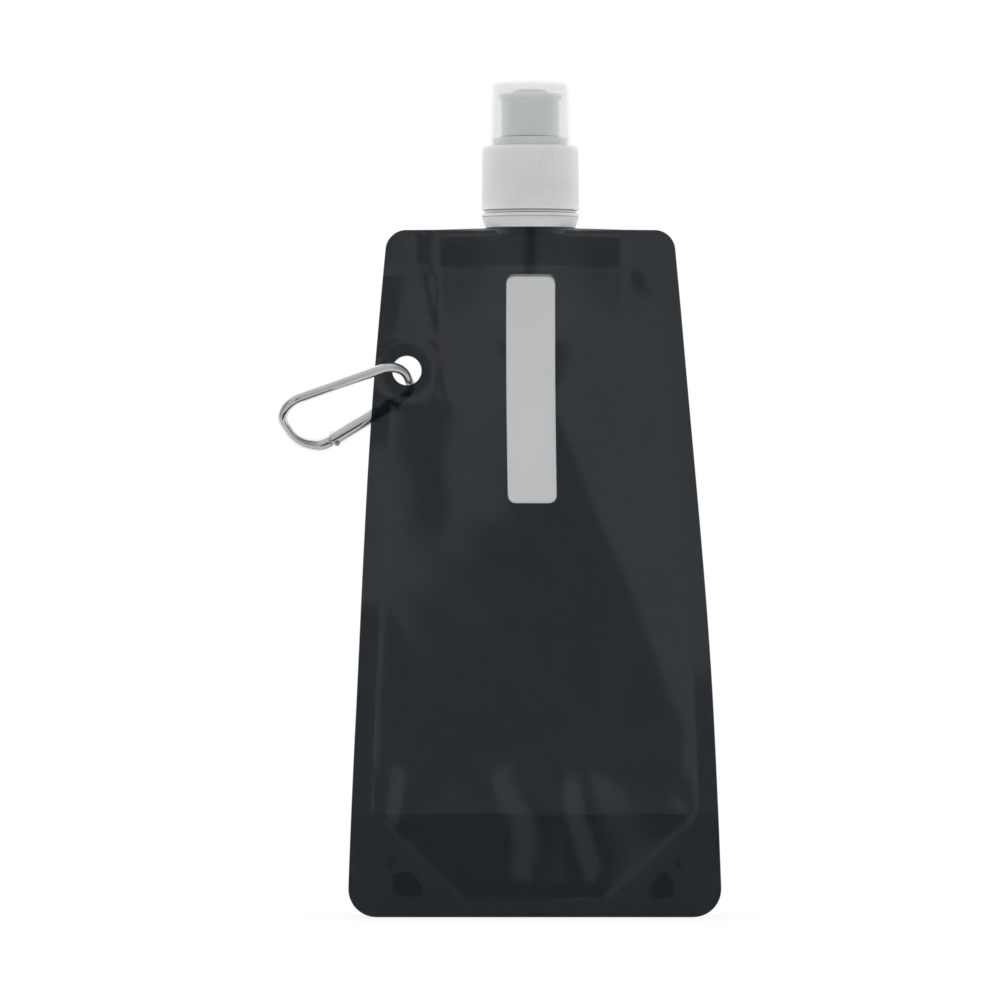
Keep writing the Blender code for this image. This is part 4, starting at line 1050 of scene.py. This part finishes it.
def make_gate():
    """The gate: a thick rod with a fork at both ends. Its nose keeps a wall inside the loop."""
    pivot, nose = on_gate(RIVET), on_gate(NOSE)
    lengthwise = pivot @ Matrix.Rotation(pi / 2, 4, "Y")
    low, high = -GATE_PAST_RIVET, (NOSE - RIVET).length + GATE_PAST_PIN
    gate = turned("slotted_gate", "gate", *POLISHED_ALUMINIUM, [
        (0, low, 0), (GATE_R, low, GATE_EDGE), (GATE_R, high, GATE_EDGE), (0, high, 0),
    ], steps=GATE_ROUND, pitch=2.0)
    gate.data.transform(lengthwise)
    half = TONGUE / 2 + PIN_GAP
    machined(gate, [
        ("DIFFERENCE", prism(pivot, PIVOT_FORK, -half, half)),
        ("DIFFERENCE", prism(nose, NOSE_FORK, -half, half)),
        hole(lengthwise, SPRING_BORE_R, *SPRING_BORE),
        hole(pivot, RIVET_HOLE_R),
        hole(nose, PIN_HOLE_R),
    ])
    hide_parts("carabiner_gate")


make_wing()
make_spout()
make_cap()
make_nozzle()
make_dust_cap()
make_rod()
make_gate()


# CAD nodes that keep their shape

STAYING = {
    "cap_seal_ring": RUBBER, "gate_pivot_rivet": STEEL, "gate_nose_pin": STEEL,
    "gate_spring": STEEL, "gate_plunger": STEEL,
}
for node_name, material in STAYING.items():
    node = frame["nodes"][node_name]
    node.data.materials.clear()
    node.data.materials.append(material)
    shade(node.data)


# Studio

# What gloss and light find round the object. Each row's light goes from low to high as the way's
# part of the direction goes from start to end, and joins the rows above it: a narrow dark gap
# between two pale screens, dim sides, a bright ceiling and a white wall behind.
STUDIO_LIGHT = (
    # way, start, end, low, high, how it joins
    ("across", 0.065, 0.120, 0.04, 0.52, "MAXIMUM"),
    ("up", 0.20, 0.32, 0.04, 0.52, "MAXIMUM"),
    ("across", 0.62, 0.88, 0.52, 0.30, "MINIMUM"),
    ("up", 0.35, 0.75, 0.0, 0.10, "ADD"),
    ("behind", 0.0, 0.5, 0.0, 0.60, "ADD"),
)

# A black card close under the carabiner, which only gloss sees: it draws the dark line along the
# polished rod and the gate
CARD_ENDS = ((-0.092, -0.016, 0.1355), (-0.0545, -0.016, 0.1530))
CARD_HALF = 5.5 * MM
CARD_WAY = (0.20, -0.68, -0.72)  # from the loop to the card, which is square to it

# White table: its size, and the soft shadow that it shows round what stands on it
TABLE_R, TABLE_SIDES = 0.40, 96
SHADOW_REACH, SHADOW_TONE = 0.035, 0.80

# Softboxes, all facing the bottle's middle: name, place, size in metres, watts
SOFTBOXES = (
    ("left_softbox", (-1.2, -0.55, 0.35), (0.8, 1.0), 5.0),
    ("right_softbox", (1.2, -0.55, 0.35), (0.8, 1.0), 5.0),
    ("left_rim_softbox", (-1.0, 0.75, 0.4), (0.6, 0.8), 2.6),
    ("right_rim_softbox", (1.0, 0.75, 0.4), (0.6, 0.8), 2.6),
)
BOTTLE_MIDDLE = Vector((0, 0, 0.13))


def plain_rays(tree):
    """1 for what the camera sees directly or through clear film, 0 for light on the object."""
    path = add_node(tree, "LightPath")
    rays = {0: path.outputs["Is Camera Ray"], 1: path.outputs["Is Transmission Ray"]}
    return add_node(tree, "Math", {"operation": "MAXIMUM", **rays}).outputs["Value"]


def make_floor():
    """A round white table top that shows as plain white, with a soft shadow under the pouch."""
    made = bpy.data.materials.new("white_table")
    tree = empty_tree(made)
    settings = {"Distance": SHADOW_REACH, "samples": 8}
    contact = add_node(tree, "AmbientOcclusion", settings)
    settings = {"To Min": SHADOW_TONE, "Value": contact.outputs["AO"]}
    shadow = add_node(tree, "MapRange", settings)
    settings = {"Color": (1, 1, 1, 1), "Strength": shadow.outputs["Result"]}
    seen = add_node(tree, "Emission", settings)
    lit = add_node(tree, "BsdfDiffuse", {"Color": linear("#E6E6E6")})
    mixed = {0: plain_rays(tree), 1: lit.outputs["BSDF"], 2: seen.outputs["Emission"]}
    plain = add_node(tree, "MixShader", mixed)
    path = add_node(tree, "LightPath")
    clear = add_node(tree, "BsdfTransparent")
    mixed = {1: plain.outputs["Shader"], 2: clear.outputs["BSDF"]}
    floor = add_node(tree, "MixShader", {0: path.outputs["Is Glossy Ray"], **mixed})
    add_node(tree, "OutputMaterial", {"Surface": floor.outputs["Shader"]})
    work = bmesh.new()
    bmesh.ops.create_circle(work, cap_ends=True, segments=TABLE_SIDES, radius=TABLE_R)
    mesh = bpy.data.meshes.new("white_table")
    work.to_mesh(mesh)
    work.free()
    mesh.materials.append(made)
    table = placed("white_table", mesh)


def make_card():
    """The black card under the carabiner."""
    made = bpy.data.materials.new("black_card")
    tree = empty_tree(made)
    matt = add_node(tree, "BsdfDiffuse", {"Color": linear("#101010")})
    add_node(tree, "OutputMaterial", {"Surface": matt.outputs["BSDF"]})
    low, high = [Vector(end) for end in CARD_ENDS]
    side = (high - low).cross(Vector(CARD_WAY)).normalized() * CARD_HALF
    mesh = bpy.data.meshes.new("black_card")
    mesh.from_pydata([low - side, high - side, high + side, low + side], [], [(0, 1, 2, 3)])
    mesh.materials.append(made)
    card = placed("black_card", mesh)
    card.visible_camera = card.visible_diffuse = card.visible_shadow = False
    card.visible_transmission = False


def make_world():
    """White to the eye, and the studio to gloss and light."""
    world = bpy.data.worlds.new("studio")
    bpy.context.scene.world = world
    tree = empty_tree(world)
    place = add_node(tree, "TexCoord")
    parts = add_node(tree, "SeparateXYZ", {"Vector": place.outputs["Generated"]}).outputs
    ways = {"behind": parts["Y"]}
    for way, axis in (("across", "X"), ("up", "Z")):
        either = add_node(tree, "Math", {"operation": "ABSOLUTE", 0: parts[axis]})
        ways[way] = either.outputs["Value"]
    white = plain_rays(tree)
    room = 0.0
    for way, start, end, low, high, joining in STUDIO_LIGHT:
        spread = {"From Min": start, "From Max": end, "To Min": low, "To Max": high}
        fed = {"interpolation_type": "SMOOTHSTEP", "Value": ways[way]}
        light = add_node(tree, "MapRange", {**fed, **spread})
        joined = {"operation": joining, 0: room, 1: light.outputs["Result"]}
        room = add_node(tree, "Math", joined).outputs["Value"]
    seen = add_node(tree, "Math", {"operation": "MAXIMUM", 0: white, 1: room})
    settings = {"Color": (1, 1, 1, 1), "Strength": seen.outputs["Value"]}
    back = add_node(tree, "Background", settings)
    add_node(tree, "OutputWorld", {"Surface": back.outputs["Background"]})


def make_softbox(name, place, size, watts):
    """A rectangular lamp. Gloss shows the studio instead of it."""
    lamp = bpy.data.lights.new(name, "AREA")
    lamp.shape = "RECTANGLE"
    lamp.size, lamp.size_y = size
    lamp.energy = watts
    made = placed(name, lamp)
    made.location = place
    made.rotation_euler = (BOTTLE_MIDDLE - Vector(place)).to_track_quat("-Z", "Y").to_euler()
    made.visible_glossy = False


def make_camera():
    """The photograph's camera."""
    camera = bpy.data.cameras.new("photograph")
    camera.sensor_width = SENSOR_MM
    camera.lens = SENSOR_MM * CAMERA_DISTANCE / (PHOTO_SIDE * PIXEL)
    made = placed("photograph", camera)
    made.location = (CAMERA_X, -CAMERA_DISTANCE, CAMERA_Z)
    made.rotation_euler = (pi / 2, 0, 0)
    bpy.context.scene.camera = made


make_floor()
make_card()
make_world()
for softbox in SOFTBOXES:
    make_softbox(*softbox)
make_camera()
bpy.context.scene.view_settings.view_transform = "Standard"
